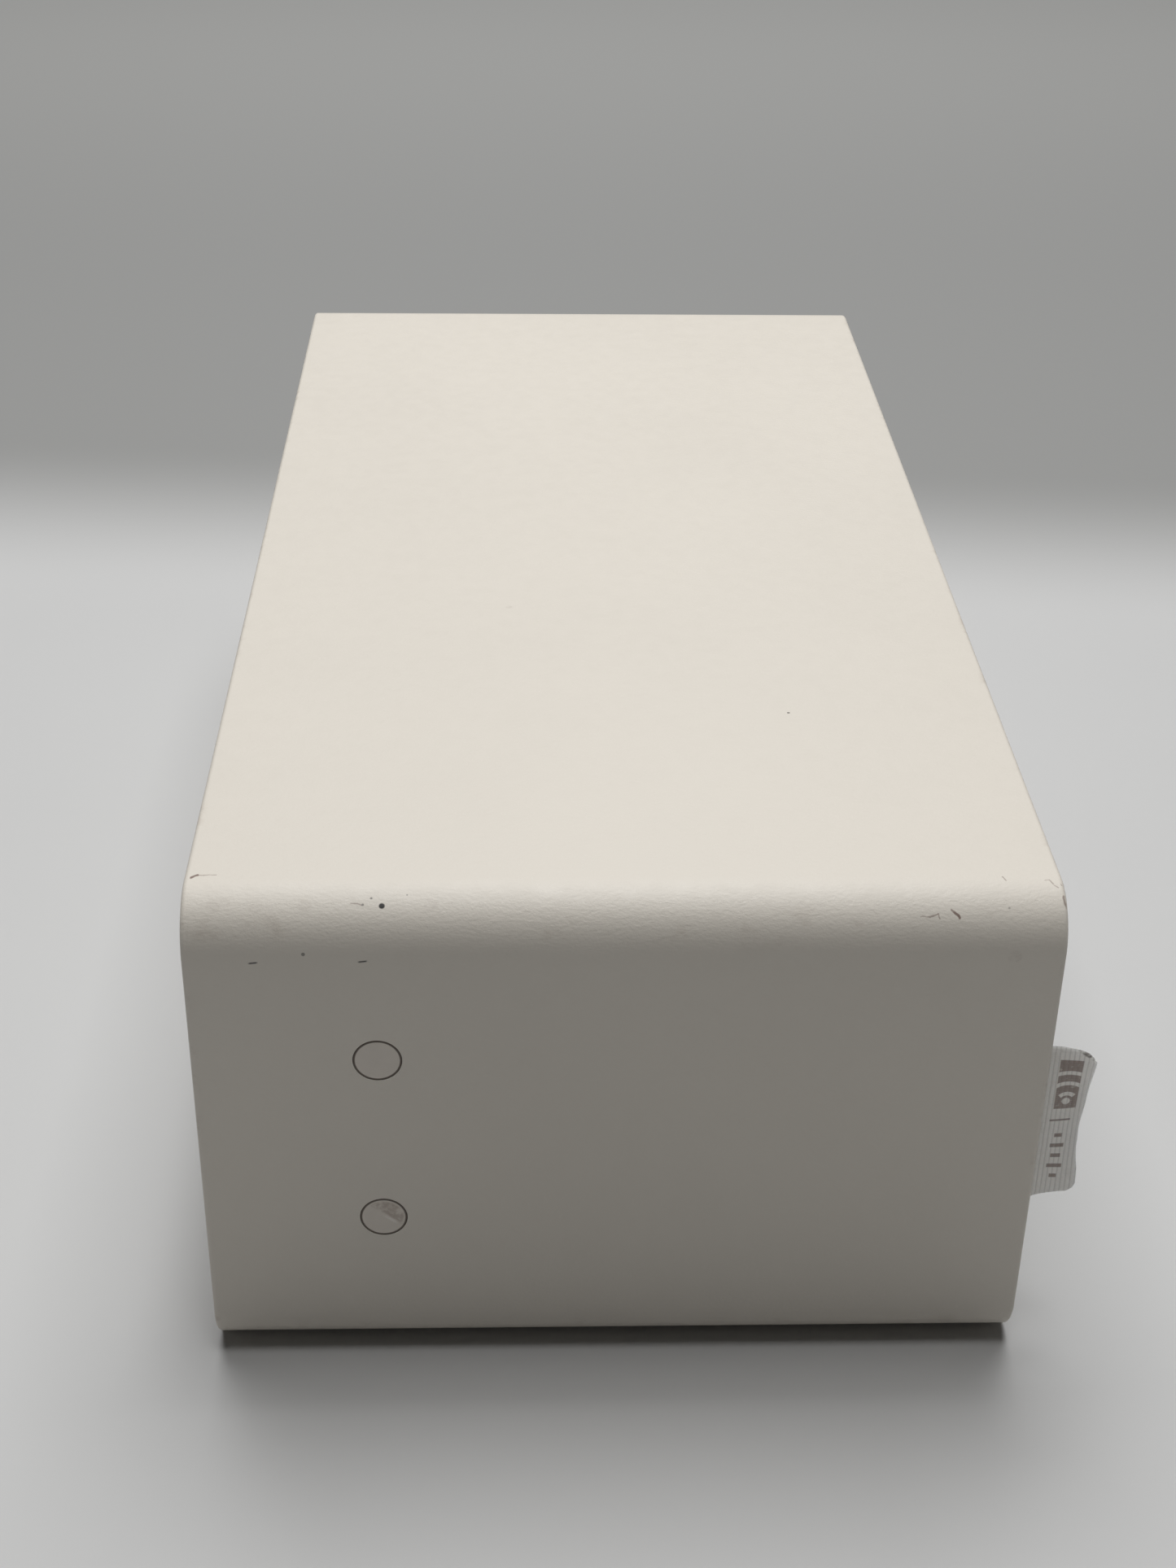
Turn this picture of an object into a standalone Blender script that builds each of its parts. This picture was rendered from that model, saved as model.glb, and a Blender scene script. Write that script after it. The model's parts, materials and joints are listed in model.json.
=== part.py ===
"""Shelf loudspeaker with a wireless music player, lying on its long side.

The frame: +X is the speaker's front, +Y runs along the cabinet from the plug end
to the control end, and +Z is up. The origin is the middle of the side it lies on.
Sizes are metres, written in millimetres times MM.
"""

import math

import bmesh
import bpy

MM = 0.001

# ---------------------------------------------------------------- driving sizes
CABINET_LENGTH = 310 * MM
CABINET_DEPTH = 150 * MM
CABINET_HEIGHT = 100 * MM
CORNER_RADIUS = 10.2 * MM
WALL = 3 * MM
RIM_ROUND = 0.8 * MM
GAP = 0.3 * MM  # between pieces that touch in the real speaker

# sleeve ledges that the baffle and the rear panel close against
LEDGE_WIDTH = 5 * MM
LEDGE_THICK = 3 * MM
GASKET_WIDTH = 3.5 * MM
GASKET_THICK = 1 * MM

# front baffle
FRONT_RECESS = 11 * MM  # from the sleeve's front rim down to the baffle
BAFFLE_THICK = 5 * MM

# grille and its woven tag
GRILLE_RECESS = 0.5 * MM  # the cloth's face below the sleeve's front rim
REVEAL = 1.2 * MM  # slot between the sleeve and the cloth
CLOTH_THICK = 0.8 * MM
CLOTH_ROUND = 1.2 * MM
GRILLE_DEPTH = 7.6 * MM
GRILLE_BAR = 5 * MM
PEG_RADIUS = 2.1 * MM
PEG_LENGTH = 6 * MM
SQUARE_CORNER = 2 * MM
TAG_WIDTH = 34 * MM
TAG_THICK = 0.6 * MM
TAG_STANDS_OUT = 8 * MM
TAG_HELD = 6.5 * MM
TAG_ABOVE_MIDDLE = 1.5 * MM

# control strip
STRIP_LENGTH = 26 * MM
STRIP_WALL = 2 * MM
STRIP_ROUND = 0.6 * MM
BUTTON_RADIUS = 6.5 * MM
BUTTON_PITCH = 24 * MM
BUTTON_PROUD = 0.4 * MM
BUTTON_TRAVEL = 0.5 * MM
BUTTON_RIM = 1.2 * MM
BUTTON_RIM_THICK = 1.5 * MM
BUTTON_STEM_RADIUS = 3 * MM
LENS_RADIUS = 1.1 * MM
KEYPAD_THICK = 0.8 * MM
DOME_HEIGHT = 1.2 * MM
BOARD_THICK = 1.6 * MM

# rear panel and connection bay
REAR_RECESS = 1.5 * MM
PANEL_THICK = 3 * MM
BAY_LENGTH = 54 * MM
BAY_HEIGHT = 50 * MM
BAY_DEPTH = 24 * MM
BAY_WALL = 2 * MM
BAY_CORNER = 4 * MM
BAY_FROM_END = 55 * MM  # the bay's middle, from the control end
BAY_FLANGE = 4 * MM
INLET_OFFSET = -14 * MM
JACK_OFFSET = 13 * MM

# fixing points behind the two round plugs
PLUG_RADIUS = 4.05 * MM
PLUG_THICK = 1.5 * MM
PLUG_STEM_RADIUS = 1.3 * MM
PLUG_STEM_LENGTH = 5.5 * MM
PLUG_SPACING = 35.5 * MM
PLUG_FROM_BACK = 32.3 * MM
PLUG_RING = 0.25 * MM
PLUGS_ABOVE_MIDDLE = 1.1 * MM
INSERT_RADIUS = 2.9 * MM
INSERT_BORE = 1.7 * MM
INSERT_LENGTH = 9 * MM
BOSS_WALL = 3 * MM
BOSS_END = 3 * MM

# drivers
WOOFER_FROM_END = 137 * MM  # from the plug end
WOOFER_FLANGE_RADIUS = 44 * MM
WOOFER_SEAT_WIDTH = 5.8 * MM  # from the flange's edge in to the hole's
WOOFER_SCREW_INSET = 3 * MM
SURROUND_SPACE = 8.9 * MM  # from the hole's edge in to the cone's
BASKET_TAPER = 9.4 * MM
CONE_TRAVEL = 3 * MM
CAP_LANDING = 1.7 * MM  # from the cone's neck out to the dust cap's edge
CAP_SPACE = 1.044 * MM  # from the cone's face up to the cap's foot
COIL_RADIUS = 12.7 * MM
COIL_WALL = 0.7 * MM
TWEETER_FROM_END = 51 * MM
TWEETER_FLANGE_RADIUS = 30 * MM
TWEETER_SEAT_WIDTH = 5.2 * MM
TWEETER_SCREW_INSET = 2.6 * MM
HORN_INSET = 8.5 * MM  # from the flange's edge in to the horn's mouth
TWEETER_DOME_RADIUS = 12.6 * MM
DOME_TRAVEL = 0.3 * MM
FLANGE_THICK = 2 * MM
DRIVER_PROUD = 0.1 * MM

# bass port
PORT_FROM_END = 47 * MM
PORT_RADIUS = 15 * MM
PORT_WALL = 2.2 * MM
PORT_LENGTH = 81 * MM
PORT_MOUTH_RADIUS = 20.5 * MM

# screws
SCREW_RADIUS = 1.5 * MM
SCREW_HEAD_RADIUS = 2.6 * MM
SCREW_HEAD_THICK = 1.7 * MM
CORNER_SCREW_INSET = 6.5 * MM
CORNER_BOSS_RADIUS = 4.5 * MM
CORNER_BOSS_LENGTH = 14 * MM

# electronics
MAIN_BOARD_LENGTH = 87 * MM
MAIN_BOARD_HEIGHT = 73 * MM
POWER_BOARD_LENGTH = 92 * MM
POWER_BOARD_HEIGHT = 73 * MM
POWER_BOARD_BEHIND_BAFFLE = 23 * MM
POST_RADIUS = 3.5 * MM
POST_INSET = 6 * MM
STAKE_RADIUS = 1.2 * MM
LEAD_RADIUS = 1.5 * MM

# ---------------------------------------------------------------- derived places
FRONT_X = CABINET_DEPTH / 2
BACK_X = -CABINET_DEPTH / 2
PLUG_END_Y = -CABINET_LENGTH / 2
CONTROL_END_Y = CABINET_LENGTH / 2
MID_Z = CABINET_HEIGHT / 2
INNER_LENGTH = CABINET_LENGTH - 2 * WALL
INNER_HEIGHT = CABINET_HEIGHT - 2 * WALL
INNER_RADIUS = CORNER_RADIUS - WALL

BAFFLE_FRONT_X = FRONT_X - FRONT_RECESS
BAFFLE_BACK_X = BAFFLE_FRONT_X - BAFFLE_THICK
GASKET_FRONT_X = BAFFLE_BACK_X - GAP
FRONT_LEDGE_X = GASKET_FRONT_X - GASKET_THICK - GAP
CLOTH_FACE_X = FRONT_X - GRILLE_RECESS
CLOTH_BACK_X = CLOTH_FACE_X - GRILLE_DEPTH - CLOTH_THICK
GRILLE_PLUG_END_Y = PLUG_END_Y + WALL + REVEAL
GRILLE_CONTROL_END_Y = CONTROL_END_Y - WALL - STRIP_LENGTH - REVEAL
GRILLE_LENGTH = GRILLE_CONTROL_END_Y - GRILLE_PLUG_END_Y
GRILLE_HEIGHT = INNER_HEIGHT - 2 * REVEAL
GRILLE_MID_Y = (GRILLE_CONTROL_END_Y + GRILLE_PLUG_END_Y) / 2

PANEL_BACK_X = BACK_X + REAR_RECESS
PANEL_FRONT_X = PANEL_BACK_X + PANEL_THICK
BAY_Y = CONTROL_END_Y - BAY_FROM_END
BAY_FLOOR_X = PANEL_BACK_X + BAY_DEPTH
PORT_Y = PLUG_END_Y + PORT_FROM_END
PLUG_X = BACK_X + PLUG_FROM_BACK
WOOFER_Y = PLUG_END_Y + WOOFER_FROM_END
WOOFER_HOLE_RADIUS = WOOFER_FLANGE_RADIUS - WOOFER_SEAT_WIDTH
WOOFER_SCREW_CIRCLE = WOOFER_FLANGE_RADIUS - WOOFER_SCREW_INSET
CONE_RADIUS = WOOFER_HOLE_RADIUS - SURROUND_SPACE
TWEETER_Y = PLUG_END_Y + TWEETER_FROM_END
TWEETER_HOLE_RADIUS = TWEETER_FLANGE_RADIUS - TWEETER_SEAT_WIDTH
TWEETER_SCREW_CIRCLE = TWEETER_FLANGE_RADIUS - TWEETER_SCREW_INSET
DRIVER_FACE_X = BAFFLE_FRONT_X + DRIVER_PROUD

STRIP_MID_Y = CONTROL_END_Y - WALL - GAP - (STRIP_LENGTH - GAP) / 2
STRIP_FACE_X = CLOTH_FACE_X
BUTTON_Y = STRIP_MID_Y + 2 * MM
LENS_Y = STRIP_MID_Y - 8.5 * MM
BUTTON_BOARD_BACK_X = BAFFLE_FRONT_X + 1.3 * MM
BUTTON_BOARD_FRONT_X = BUTTON_BOARD_BACK_X + 1.3 * MM
KEYPAD_BACK_X = BUTTON_BOARD_FRONT_X + GAP
DOME_TOP_X = KEYPAD_BACK_X + KEYPAD_THICK + DOME_HEIGHT
BUTTON_STEM_X = DOME_TOP_X + BUTTON_TRAVEL + 0.2 * MM

JACK_SIZE = (16 * MM, 13.4 * MM)
INLET_SIZE = (21.4 * MM, 13.4 * MM)
SOCKET_PROUD = 1 * MM
JACK_LENGTH = 15.5 * MM
MAIN_BOARD_BACK_X = BAY_FLOOR_X - SOCKET_PROUD + JACK_LENGTH + GAP
MAIN_BOARD_FRONT_X = MAIN_BOARD_BACK_X + BOARD_THICK
MAIN_BOARD_Y = BAY_Y - 2 * MM
POWER_BOARD_FRONT_X = BAFFLE_BACK_X - POWER_BOARD_BEHIND_BAFFLE
POWER_BOARD_BACK_X = POWER_BOARD_FRONT_X - BOARD_THICK
POWER_BOARD_Y = BAY_Y - 5 * MM

# ---------------------------------------------------------------- round-ness
CORNER_STEPS = 5
SMALL_STEPS = 10
ROUND_STEPS = 16
DRIVER_STEPS = 24

FACING_FRONT = (math.pi / 2, 0, math.pi / 2)  # local X, Y, Z become +Y, +Z, +X
POINTING = {
    "+X": (0, math.pi / 2, 0),
    "-X": (0, -math.pi / 2, 0),
    "+Y": (-math.pi / 2, 0, 0),
    "-Y": (math.pi / 2, 0, 0),
    "+Z": (0, 0, 0),
}

# name: colour, roughness, metallic
FINISHES = {
    "white_plastic": ((0.80, 0.78, 0.73), 0.55, 0.0),
    "plug_silicone": ((0.78, 0.75, 0.71), 0.60, 0.0),
    "grille_cloth": ((0.68, 0.66, 0.62), 0.90, 0.0),
    "tag_ribbon": ((0.72, 0.70, 0.67), 0.85, 0.0),
    "white_button": ((0.82, 0.80, 0.76), 0.45, 0.0),
    "black_plastic": ((0.025, 0.025, 0.027), 0.55, 0.0),
    "grey_plastic": ((0.09, 0.09, 0.095), 0.60, 0.0),
    "black_rubber": ((0.02, 0.02, 0.02), 0.70, 0.0),
    "foam": ((0.06, 0.06, 0.06), 0.95, 0.0),
    "paper_cone": ((0.03, 0.03, 0.032), 0.80, 0.0),
    "cloth_spider": ((0.55, 0.40, 0.16), 0.85, 0.0),
    "copper_coil": ((0.72, 0.35, 0.18), 0.35, 1.0),
    "steel": ((0.55, 0.56, 0.57), 0.35, 1.0),
    "ferrite": ((0.05, 0.05, 0.055), 0.60, 0.0),
    "brass": ((0.78, 0.60, 0.28), 0.30, 1.0),
    "aluminium": ((0.70, 0.71, 0.73), 0.40, 1.0),
    "circuit_board": ((0.02, 0.16, 0.07), 0.45, 0.0),
    "winding_tape": ((0.75, 0.62, 0.12), 0.50, 0.0),
    "capacitor_sleeve": ((0.03, 0.04, 0.10), 0.35, 0.0),
    "clear_lens": ((0.90, 0.92, 0.92), 0.15, 0.0),
    "wire_jacket": ((0.04, 0.04, 0.04), 0.50, 0.0),
}


def new_collection(name):
    collection = bpy.data.collections.new(name)
    bpy.context.scene.collection.children.link(collection)
    return collection


def make_finish(name):
    colour, roughness, metallic = FINISHES[name]
    material = bpy.data.materials.new(name)
    material.use_nodes = True
    shader = material.node_tree.nodes["Principled BSDF"]
    shader.inputs["Base Color"].default_value = (*colour, 1)
    shader.inputs["Roughness"].default_value = roughness
    shader.inputs["Metallic"].default_value = metallic
    material.diffuse_color = (*colour, 1)
    return material


for startup_object in list(bpy.data.objects):
    bpy.data.objects.remove(startup_object)
PARTS = new_collection("shelf_loudspeaker")
CUTTERS = new_collection("cutters")
MATERIALS = {name: make_finish(name) for name in FINISHES}


# ---------------------------------------------------------------- shape helpers
def add_object(name, data, finish):
    """A new object of the speaker. With no finish it is a tool shape, kept out of renders."""
    obj = bpy.data.objects.new(name, data)
    if finish:
        PARTS.objects.link(obj)
        data.materials.append(MATERIALS[finish])
    else:
        CUTTERS.objects.link(obj)
        obj.hide_render = True
        obj.display_type = "WIRE"
    return obj


def mesh_from(shape, name):
    mesh = bpy.data.meshes.new(name)
    shape.to_mesh(mesh)
    shape.free()
    return mesh


def shade_round(mesh):
    mesh.shade_smooth()
    mesh.set_sharp_from_angle(angle=math.radians(40))


def box(name, low, high, finish=None, rounding=0.0):
    """A block between two corners, with its edges rounded."""
    shape = bmesh.new()
    bmesh.ops.create_cube(shape, size=1)
    size = [b - a for a, b in zip(low, high)]
    bmesh.ops.scale(shape, vec=size, verts=shape.verts)
    obj = add_object(name, mesh_from(shape, name), finish)
    obj.location = [(a + b) / 2 for a, b in zip(low, high)]
    if rounding:
        round_edges(obj, rounding)
    return obj


def cylinder(name, radius, length, base, pointing, finish=None, steps=ROUND_STEPS, tip=None):
    """A cylinder, or a cone with a flat tip, standing on base and pointing along an axis."""
    shape = bmesh.new()
    bmesh.ops.create_cone(
        shape,
        cap_ends=True,
        segments=steps,
        radius1=radius,
        radius2=radius if tip is None else tip,
        depth=length,
    )
    bmesh.ops.translate(shape, vec=(0, 0, length / 2), verts=shape.verts)
    mesh = mesh_from(shape, name)
    shade_round(mesh)
    obj = add_object(name, mesh, finish)
    obj.location = base
    obj.rotation_euler = POINTING[pointing]
    return obj


def turned(name, profile, centre, finish=None, steps=DRIVER_STEPS):
    """A shape turned about the X axis through centre. The profile holds (radius, height
    towards the front), and runs down its outer side; a ring's profile closes on itself."""
    mesh = bpy.data.meshes.new(name)
    edges = [(i, i + 1) for i in range(len(profile) - 1)]
    if profile[0][0] > 0:
        edges.append((len(profile) - 1, 0))
    mesh.from_pydata([(radius, 0, height) for radius, height in profile], edges, [])
    obj = add_object(name, mesh, finish)
    obj.location = centre
    obj.rotation_euler = FACING_FRONT
    screw = obj.modifiers.new("turn", "SCREW")
    screw.steps = steps
    screw.render_steps = steps
    screw.use_merge_vertices = True
    screw.merge_threshold = 0.00001
    screw.use_smooth_shade = False
    return obj


def plate(name, outlines, low, high, finish=None, extrude_along="X"):
    """A flat piece: closed outlines, the later ones being holes, made thick from low to
    high. Outlines hold (Y, Z) for a plate facing the front, and (X, Y) for one facing up."""
    curve = bpy.data.curves.new(name, "CURVE")
    curve.dimensions = "2D"
    curve.fill_mode = "BOTH"
    curve.extrude = (high - low) / 2
    for outline in outlines:
        spline = curve.splines.new("POLY")
        spline.points.add(len(outline) - 1)
        for point, (u, v) in zip(spline.points, outline):
            point.co = (u, v, 0, 1)
        spline.use_cyclic_u = True
    drawn = bpy.data.objects.new(name + "_outline", curve)
    CUTTERS.objects.link(drawn)
    bpy.context.view_layer.update()
    graph = bpy.context.evaluated_depsgraph_get()
    mesh = bpy.data.meshes.new_from_object(drawn.evaluated_get(graph))
    bpy.data.objects.remove(drawn)
    mesh.name = name
    shape = bmesh.new()
    shape.from_mesh(mesh)
    bmesh.ops.remove_doubles(shape, verts=shape.verts, dist=0.000001)
    bmesh.ops.recalc_face_normals(shape, faces=shape.faces)
    shape.to_mesh(mesh)
    shape.free()
    obj = add_object(name, mesh, finish)
    if extrude_along == "X":
        obj.location = ((low + high) / 2, 0, 0)
        obj.rotation_euler = FACING_FRONT
    else:
        obj.location = (0, 0, (low + high) / 2)
    return obj


def tube_along(name, route, radius, finish, points_per_leg=3):
    """A round lead along a smooth curve through the points of its route."""
    curve = bpy.data.curves.new(name, "CURVE")
    curve.dimensions = "3D"
    curve.bevel_depth = radius
    curve.bevel_resolution = 2
    curve.use_fill_caps = True
    line = smooth_line(route, points_per_leg)
    spline = curve.splines.new("POLY")
    spline.points.add(len(line) - 1)
    for point, place in zip(spline.points, line):
        point.co = (*place, 1)
    return add_object(name, curve, finish)


def smooth_line(route, points_per_leg):
    """Points on a Catmull-Rom curve through the route."""
    ends = [route[0], *route, route[-1]]
    line = [route[0]]
    for before, start, end, after in zip(ends, ends[1:], ends[2:], ends[3:]):
        for step in range(1, points_per_leg + 1):
            t = step / points_per_leg
            line.append(
                tuple(
                    0.5
                    * (
                        2 * b
                        + (c - a) * t
                        + (2 * a - 5 * b + 4 * c - d) * t**2
                        + (3 * b - a - 3 * c + d) * t**3
                    )
                    for a, b, c, d in zip(before, start, end, after)
                )
            )
    return line


def circle(radius, centre, steps=ROUND_STEPS):
    """A round outline about centre, (Y, Z)."""
    return [
        (
            centre[0] + radius * math.cos(2 * math.pi * i / steps),
            centre[1] + radius * math.sin(2 * math.pi * i / steps),
        )
        for i in range(steps)
    ]


def rounded_rectangle(length, height, radius, centre, far_radius=None, steps=CORNER_STEPS):
    """An outline about centre, (Y, Z). far_radius rounds the two corners at the +Y side."""
    far = radius if far_radius is None else far_radius
    corners = ((1, 1, far, 0), (-1, 1, radius, 1), (-1, -1, radius, 2), (1, -1, far, 3))
    outline = []
    for side_y, side_z, corner, quarter in corners:
        y = centre[0] + side_y * (length / 2 - corner)
        z = centre[1] + side_z * (height / 2 - corner)
        for i in range(steps + 1):
            angle = (quarter + i / steps) * math.pi / 2
            outline.append((y + corner * math.cos(angle), z + corner * math.sin(angle)))
    return outline


def round_edges(obj, width, segments=2, angle=60):
    """Rounds every edge that turns by more than angle degrees."""
    bevel = obj.modifiers.new("rounding", "BEVEL")
    bevel.width = width
    bevel.segments = segments
    bevel.limit_method = "ANGLE"
    bevel.angle_limit = math.radians(angle)


def boolean(obj, other, operation):
    modifier = obj.modifiers.new(operation.lower(), "BOOLEAN")
    modifier.operation = operation
    modifier.object = other


def cut(obj, *cutters):
    for cutter in cutters:
        boolean(obj, cutter, "DIFFERENCE")


def join(obj, *others):
    for other in others:
        boolean(obj, other, "UNION")


def ring_of(count, radius, centre, start=0.0):
    """(Y, Z) of count points evenly round a circle, the first at start degrees."""
    return [
        (
            centre[0] + radius * math.cos(math.radians(start + 360 * i / count)),
            centre[1] + radius * math.sin(math.radians(start + 360 * i / count)),
        )
        for i in range(count)
    ]


def screw(name, base_x, y, z, length, pointing):
    """A pan-head screw: its head sits on base_x and its shank points along pointing."""
    sign = 1 if pointing == "+X" else -1
    head_x = base_x - sign * SCREW_HEAD_THICK
    head = cylinder(
        name,
        SCREW_HEAD_RADIUS,
        SCREW_HEAD_THICK,
        (head_x, y, z),
        pointing,
        "steel",
        SMALL_STEPS,
    )
    overlap = SCREW_HEAD_THICK / 2
    shank = cylinder(
        name + "_shank",
        SCREW_RADIUS,
        length + overlap,
        (base_x - sign * overlap, y, z),
        pointing,
        steps=SMALL_STEPS - 2,
    )
    join(head, shank)
    slot = box(
        name + "_slot",
        (head_x - 0.8 * MM, y - 0.4 * MM, z - 1.6 * MM),
        (head_x + 0.8 * MM, y + 0.4 * MM, z + 1.6 * MM),
    )
    cut(head, slot)
    return head


def screw_hole(name, y, z, low_x, high_x, radius=SCREW_RADIUS + GAP):
    return cylinder(name, radius, high_x - low_x, (low_x, y, z), "+X", steps=SMALL_STEPS)


# ---------------------------------------------------------------- cabinet
def corner_screw_places():
    reach_y = INNER_LENGTH / 2 - CORNER_SCREW_INSET
    reach_z = INNER_HEIGHT / 2 - CORNER_SCREW_INSET
    return [(sy * reach_y, MID_Z + sz * reach_z) for sy in (-1, 1) for sz in (-1, 1)]


def plug_heights():
    middle = MID_Z + PLUGS_ABOVE_MIDDLE
    return {"lower": middle - PLUG_SPACING / 2, "upper": middle + PLUG_SPACING / 2}


def inner_outline(inset, radius_floor=1 * MM):
    """The sleeve's inner wall, moved inwards by inset. A negative inset goes into the wall."""
    radius = max(INNER_RADIUS - inset, radius_floor)
    return rounded_rectangle(
        INNER_LENGTH - 2 * inset, INNER_HEIGHT - 2 * inset, radius, (0, MID_Z)
    )


def cabinet_sleeve():
    outer = rounded_rectangle(CABINET_LENGTH, CABINET_HEIGHT, CORNER_RADIUS, (0, MID_Z))
    sleeve = plate(
        "cabinet_sleeve", [outer, inner_outline(0)], BACK_X, FRONT_X, "white_plastic"
    )
    round_edges(sleeve, RIM_ROUND)
    into_wall = WALL / 2
    ledges = {
        "front_ledge": (FRONT_LEDGE_X - LEDGE_THICK, FRONT_LEDGE_X),
        "rear_ledge": (PANEL_FRONT_X + GAP, PANEL_FRONT_X + GAP + LEDGE_THICK),
    }
    for name, (low, high) in ledges.items():
        join(
            sleeve,
            plate(name, [inner_outline(-into_wall), inner_outline(LEDGE_WIDTH)], low, high),
        )
    boss_x = ledges["rear_ledge"][0]
    for i, (y, z) in enumerate(corner_screw_places(), 1):
        boss = cylinder(
            f"corner_boss_{i}",
            CORNER_BOSS_RADIUS,
            CORNER_BOSS_LENGTH,
            (boss_x + GAP, y, z),
            "+X",
            steps=SMALL_STEPS,
        )
        join(sleeve, boss)
        hole_end = boss_x + CORNER_BOSS_LENGTH + LEDGE_THICK
        cut(sleeve, screw_hole(f"corner_pilot_{i}", y, z, boss_x - LEDGE_THICK, hole_end))
    counterbore = PLUG_THICK + GAP
    bore_length = counterbore / 2 + GAP + INSERT_LENGTH + GAP
    for side, z in plug_heights().items():
        boss = cylinder(
            f"fixing_boss_{side}",
            INSERT_RADIUS + GAP + BOSS_WALL,
            bore_length + BOSS_END - into_wall,
            (PLUG_X, PLUG_END_Y + into_wall, z),
            "+Y",
            steps=ROUND_STEPS,
        )
        join(sleeve, boss)
        seat = cylinder(
            f"plug_seat_{side}",
            PLUG_RADIUS + PLUG_RING,
            counterbore + WALL,
            (PLUG_X, PLUG_END_Y - WALL, z),
            "+Y",
            steps=ROUND_STEPS,
        )
        bore = cylinder(
            f"insert_bore_{side}",
            INSERT_RADIUS + GAP,
            bore_length,
            (PLUG_X, PLUG_END_Y + counterbore / 2, z),
            "+Y",
            steps=ROUND_STEPS,
        )
        cut(sleeve, seat, bore)


def end_plugs_and_inserts():
    for side, z in plug_heights().items():
        plug = cylinder(
            f"end_plug_{side}",
            PLUG_RADIUS,
            PLUG_THICK,
            (PLUG_X, PLUG_END_Y, z),
            "+Y",
            "plug_silicone",
        )
        stem = cylinder(
            f"plug_stem_{side}",
            PLUG_STEM_RADIUS,
            PLUG_STEM_LENGTH + PLUG_THICK / 2,
            (PLUG_X, PLUG_END_Y + PLUG_THICK / 2, z),
            "+Y",
            steps=SMALL_STEPS,
        )
        join(plug, stem)
        start_y = PLUG_END_Y + PLUG_THICK + 2 * GAP
        insert = cylinder(
            f"bracket_insert_{side}", INSERT_RADIUS, INSERT_LENGTH, (PLUG_X, start_y, z), "+Y", "brass"
        )
        bore = cylinder(
            f"insert_thread_{side}",
            INSERT_BORE,
            INSERT_LENGTH + 2 * MM,
            (PLUG_X, start_y - MM, z),
            "+Y",
            steps=SMALL_STEPS,
        )
        cut(insert, bore)


# ---------------------------------------------------------------- rear panel
def board_posts(name, body, places, low, high, board_low, board_high, pointing):
    """Posts that carry a circuit board, each with a stake through the board."""
    for i, (y, z) in enumerate(places, 1):
        base = low if pointing == "+X" else high
        join(
            body,
            cylinder(
                f"{name}_post_{i}", POST_RADIUS, high - low, (base, y, z), pointing, steps=SMALL_STEPS
            ),
        )
        reach = 2 * MM
        stake_low, stake_high = board_low - reach, board_high + reach
        base = stake_low if pointing == "+X" else stake_high
        join(
            body,
            cylinder(
                f"{name}_stake_{i}",
                STAKE_RADIUS,
                stake_high - stake_low,
                (base, y, z),
                pointing,
                steps=SMALL_STEPS - 2,
            ),
        )


def board_corners(centre_y, length, height, inset=POST_INSET):
    return [
        (centre_y + sy * (length / 2 - inset), MID_Z + sz * (height / 2 - inset))
        for sy in (-1, 1)
        for sz in (-1, 1)
    ]


def rear_panel():
    outlines = [
        inner_outline(GAP),
        rounded_rectangle(BAY_LENGTH, BAY_HEIGHT, BAY_CORNER, (BAY_Y, MID_Z), steps=3),
        circle(PORT_MOUTH_RADIUS + PORT_WALL + GAP, (PORT_Y, MID_Z), DRIVER_STEPS),
    ]
    panel = plate("rear_panel", outlines, PANEL_BACK_X, PANEL_FRONT_X, "grey_plastic")
    for i, (y, z) in enumerate(corner_screw_places(), 1):
        seat_x = PANEL_BACK_X + SCREW_HEAD_THICK
        seat = screw_hole(
            f"rear_seat_{i}", y, z, PANEL_BACK_X - MM, seat_x, SCREW_HEAD_RADIUS + GAP
        )
        hole = screw_hole(f"rear_hole_{i}", y, z, PANEL_BACK_X - MM, PANEL_FRONT_X + MM)
        cut(panel, seat, hole)
        screw(f"rear_screw_{i}", seat_x - GAP, y, z, 12 * MM, "+X")
    board_posts(
        "main_board",
        panel,
        board_corners(MAIN_BOARD_Y, MAIN_BOARD_LENGTH, MAIN_BOARD_HEIGHT),
        PANEL_FRONT_X - MM,
        MAIN_BOARD_BACK_X - GAP,
        MAIN_BOARD_BACK_X,
        MAIN_BOARD_FRONT_X,
        "+X",
    )


def connection_bay():
    """The recessed cup behind the rear panel that holds the sockets."""
    flange = BAY_WALL + BAY_FLANGE
    back_x = PANEL_FRONT_X + GAP
    centre = (BAY_Y, MID_Z)
    bay = plate(
        "connection_bay",
        [
            rounded_rectangle(BAY_LENGTH + 2 * flange, BAY_HEIGHT + 2 * flange, BAY_CORNER, centre, steps=3),
            rounded_rectangle(BAY_LENGTH, BAY_HEIGHT, BAY_CORNER, centre, steps=3),
        ],
        back_x,
        back_x + BAY_WALL,
        "grey_plastic",
    )
    cup = plate(
        "bay_cup",
        [
            rounded_rectangle(
                BAY_LENGTH + 2 * BAY_WALL, BAY_HEIGHT + 2 * BAY_WALL, BAY_CORNER + BAY_WALL, centre, steps=3
            )
        ],
        back_x + BAY_WALL / 2,
        BAY_FLOOR_X + BAY_WALL,
    )
    hollow = plate(
        "bay_hollow",
        [rounded_rectangle(BAY_LENGTH, BAY_HEIGHT, BAY_CORNER, centre, steps=3)],
        back_x - MM,
        BAY_FLOOR_X,
    )
    join(bay, cup)
    cut(bay, hollow)
    for name, offset, size in (
        ("inlet_window", INLET_OFFSET, INLET_SIZE),
        ("jack_window", JACK_OFFSET, JACK_SIZE),
    ):
        half_y, half_z = size[0] / 2 + GAP, size[1] / 2 + GAP
        window = box(
            name,
            (BAY_FLOOR_X - MM, BAY_Y + offset - half_y, MID_Z - half_z),
            (BAY_FLOOR_X + BAY_WALL + MM, BAY_Y + offset + half_y, MID_Z + half_z),
        )
        cut(bay, window)


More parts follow.
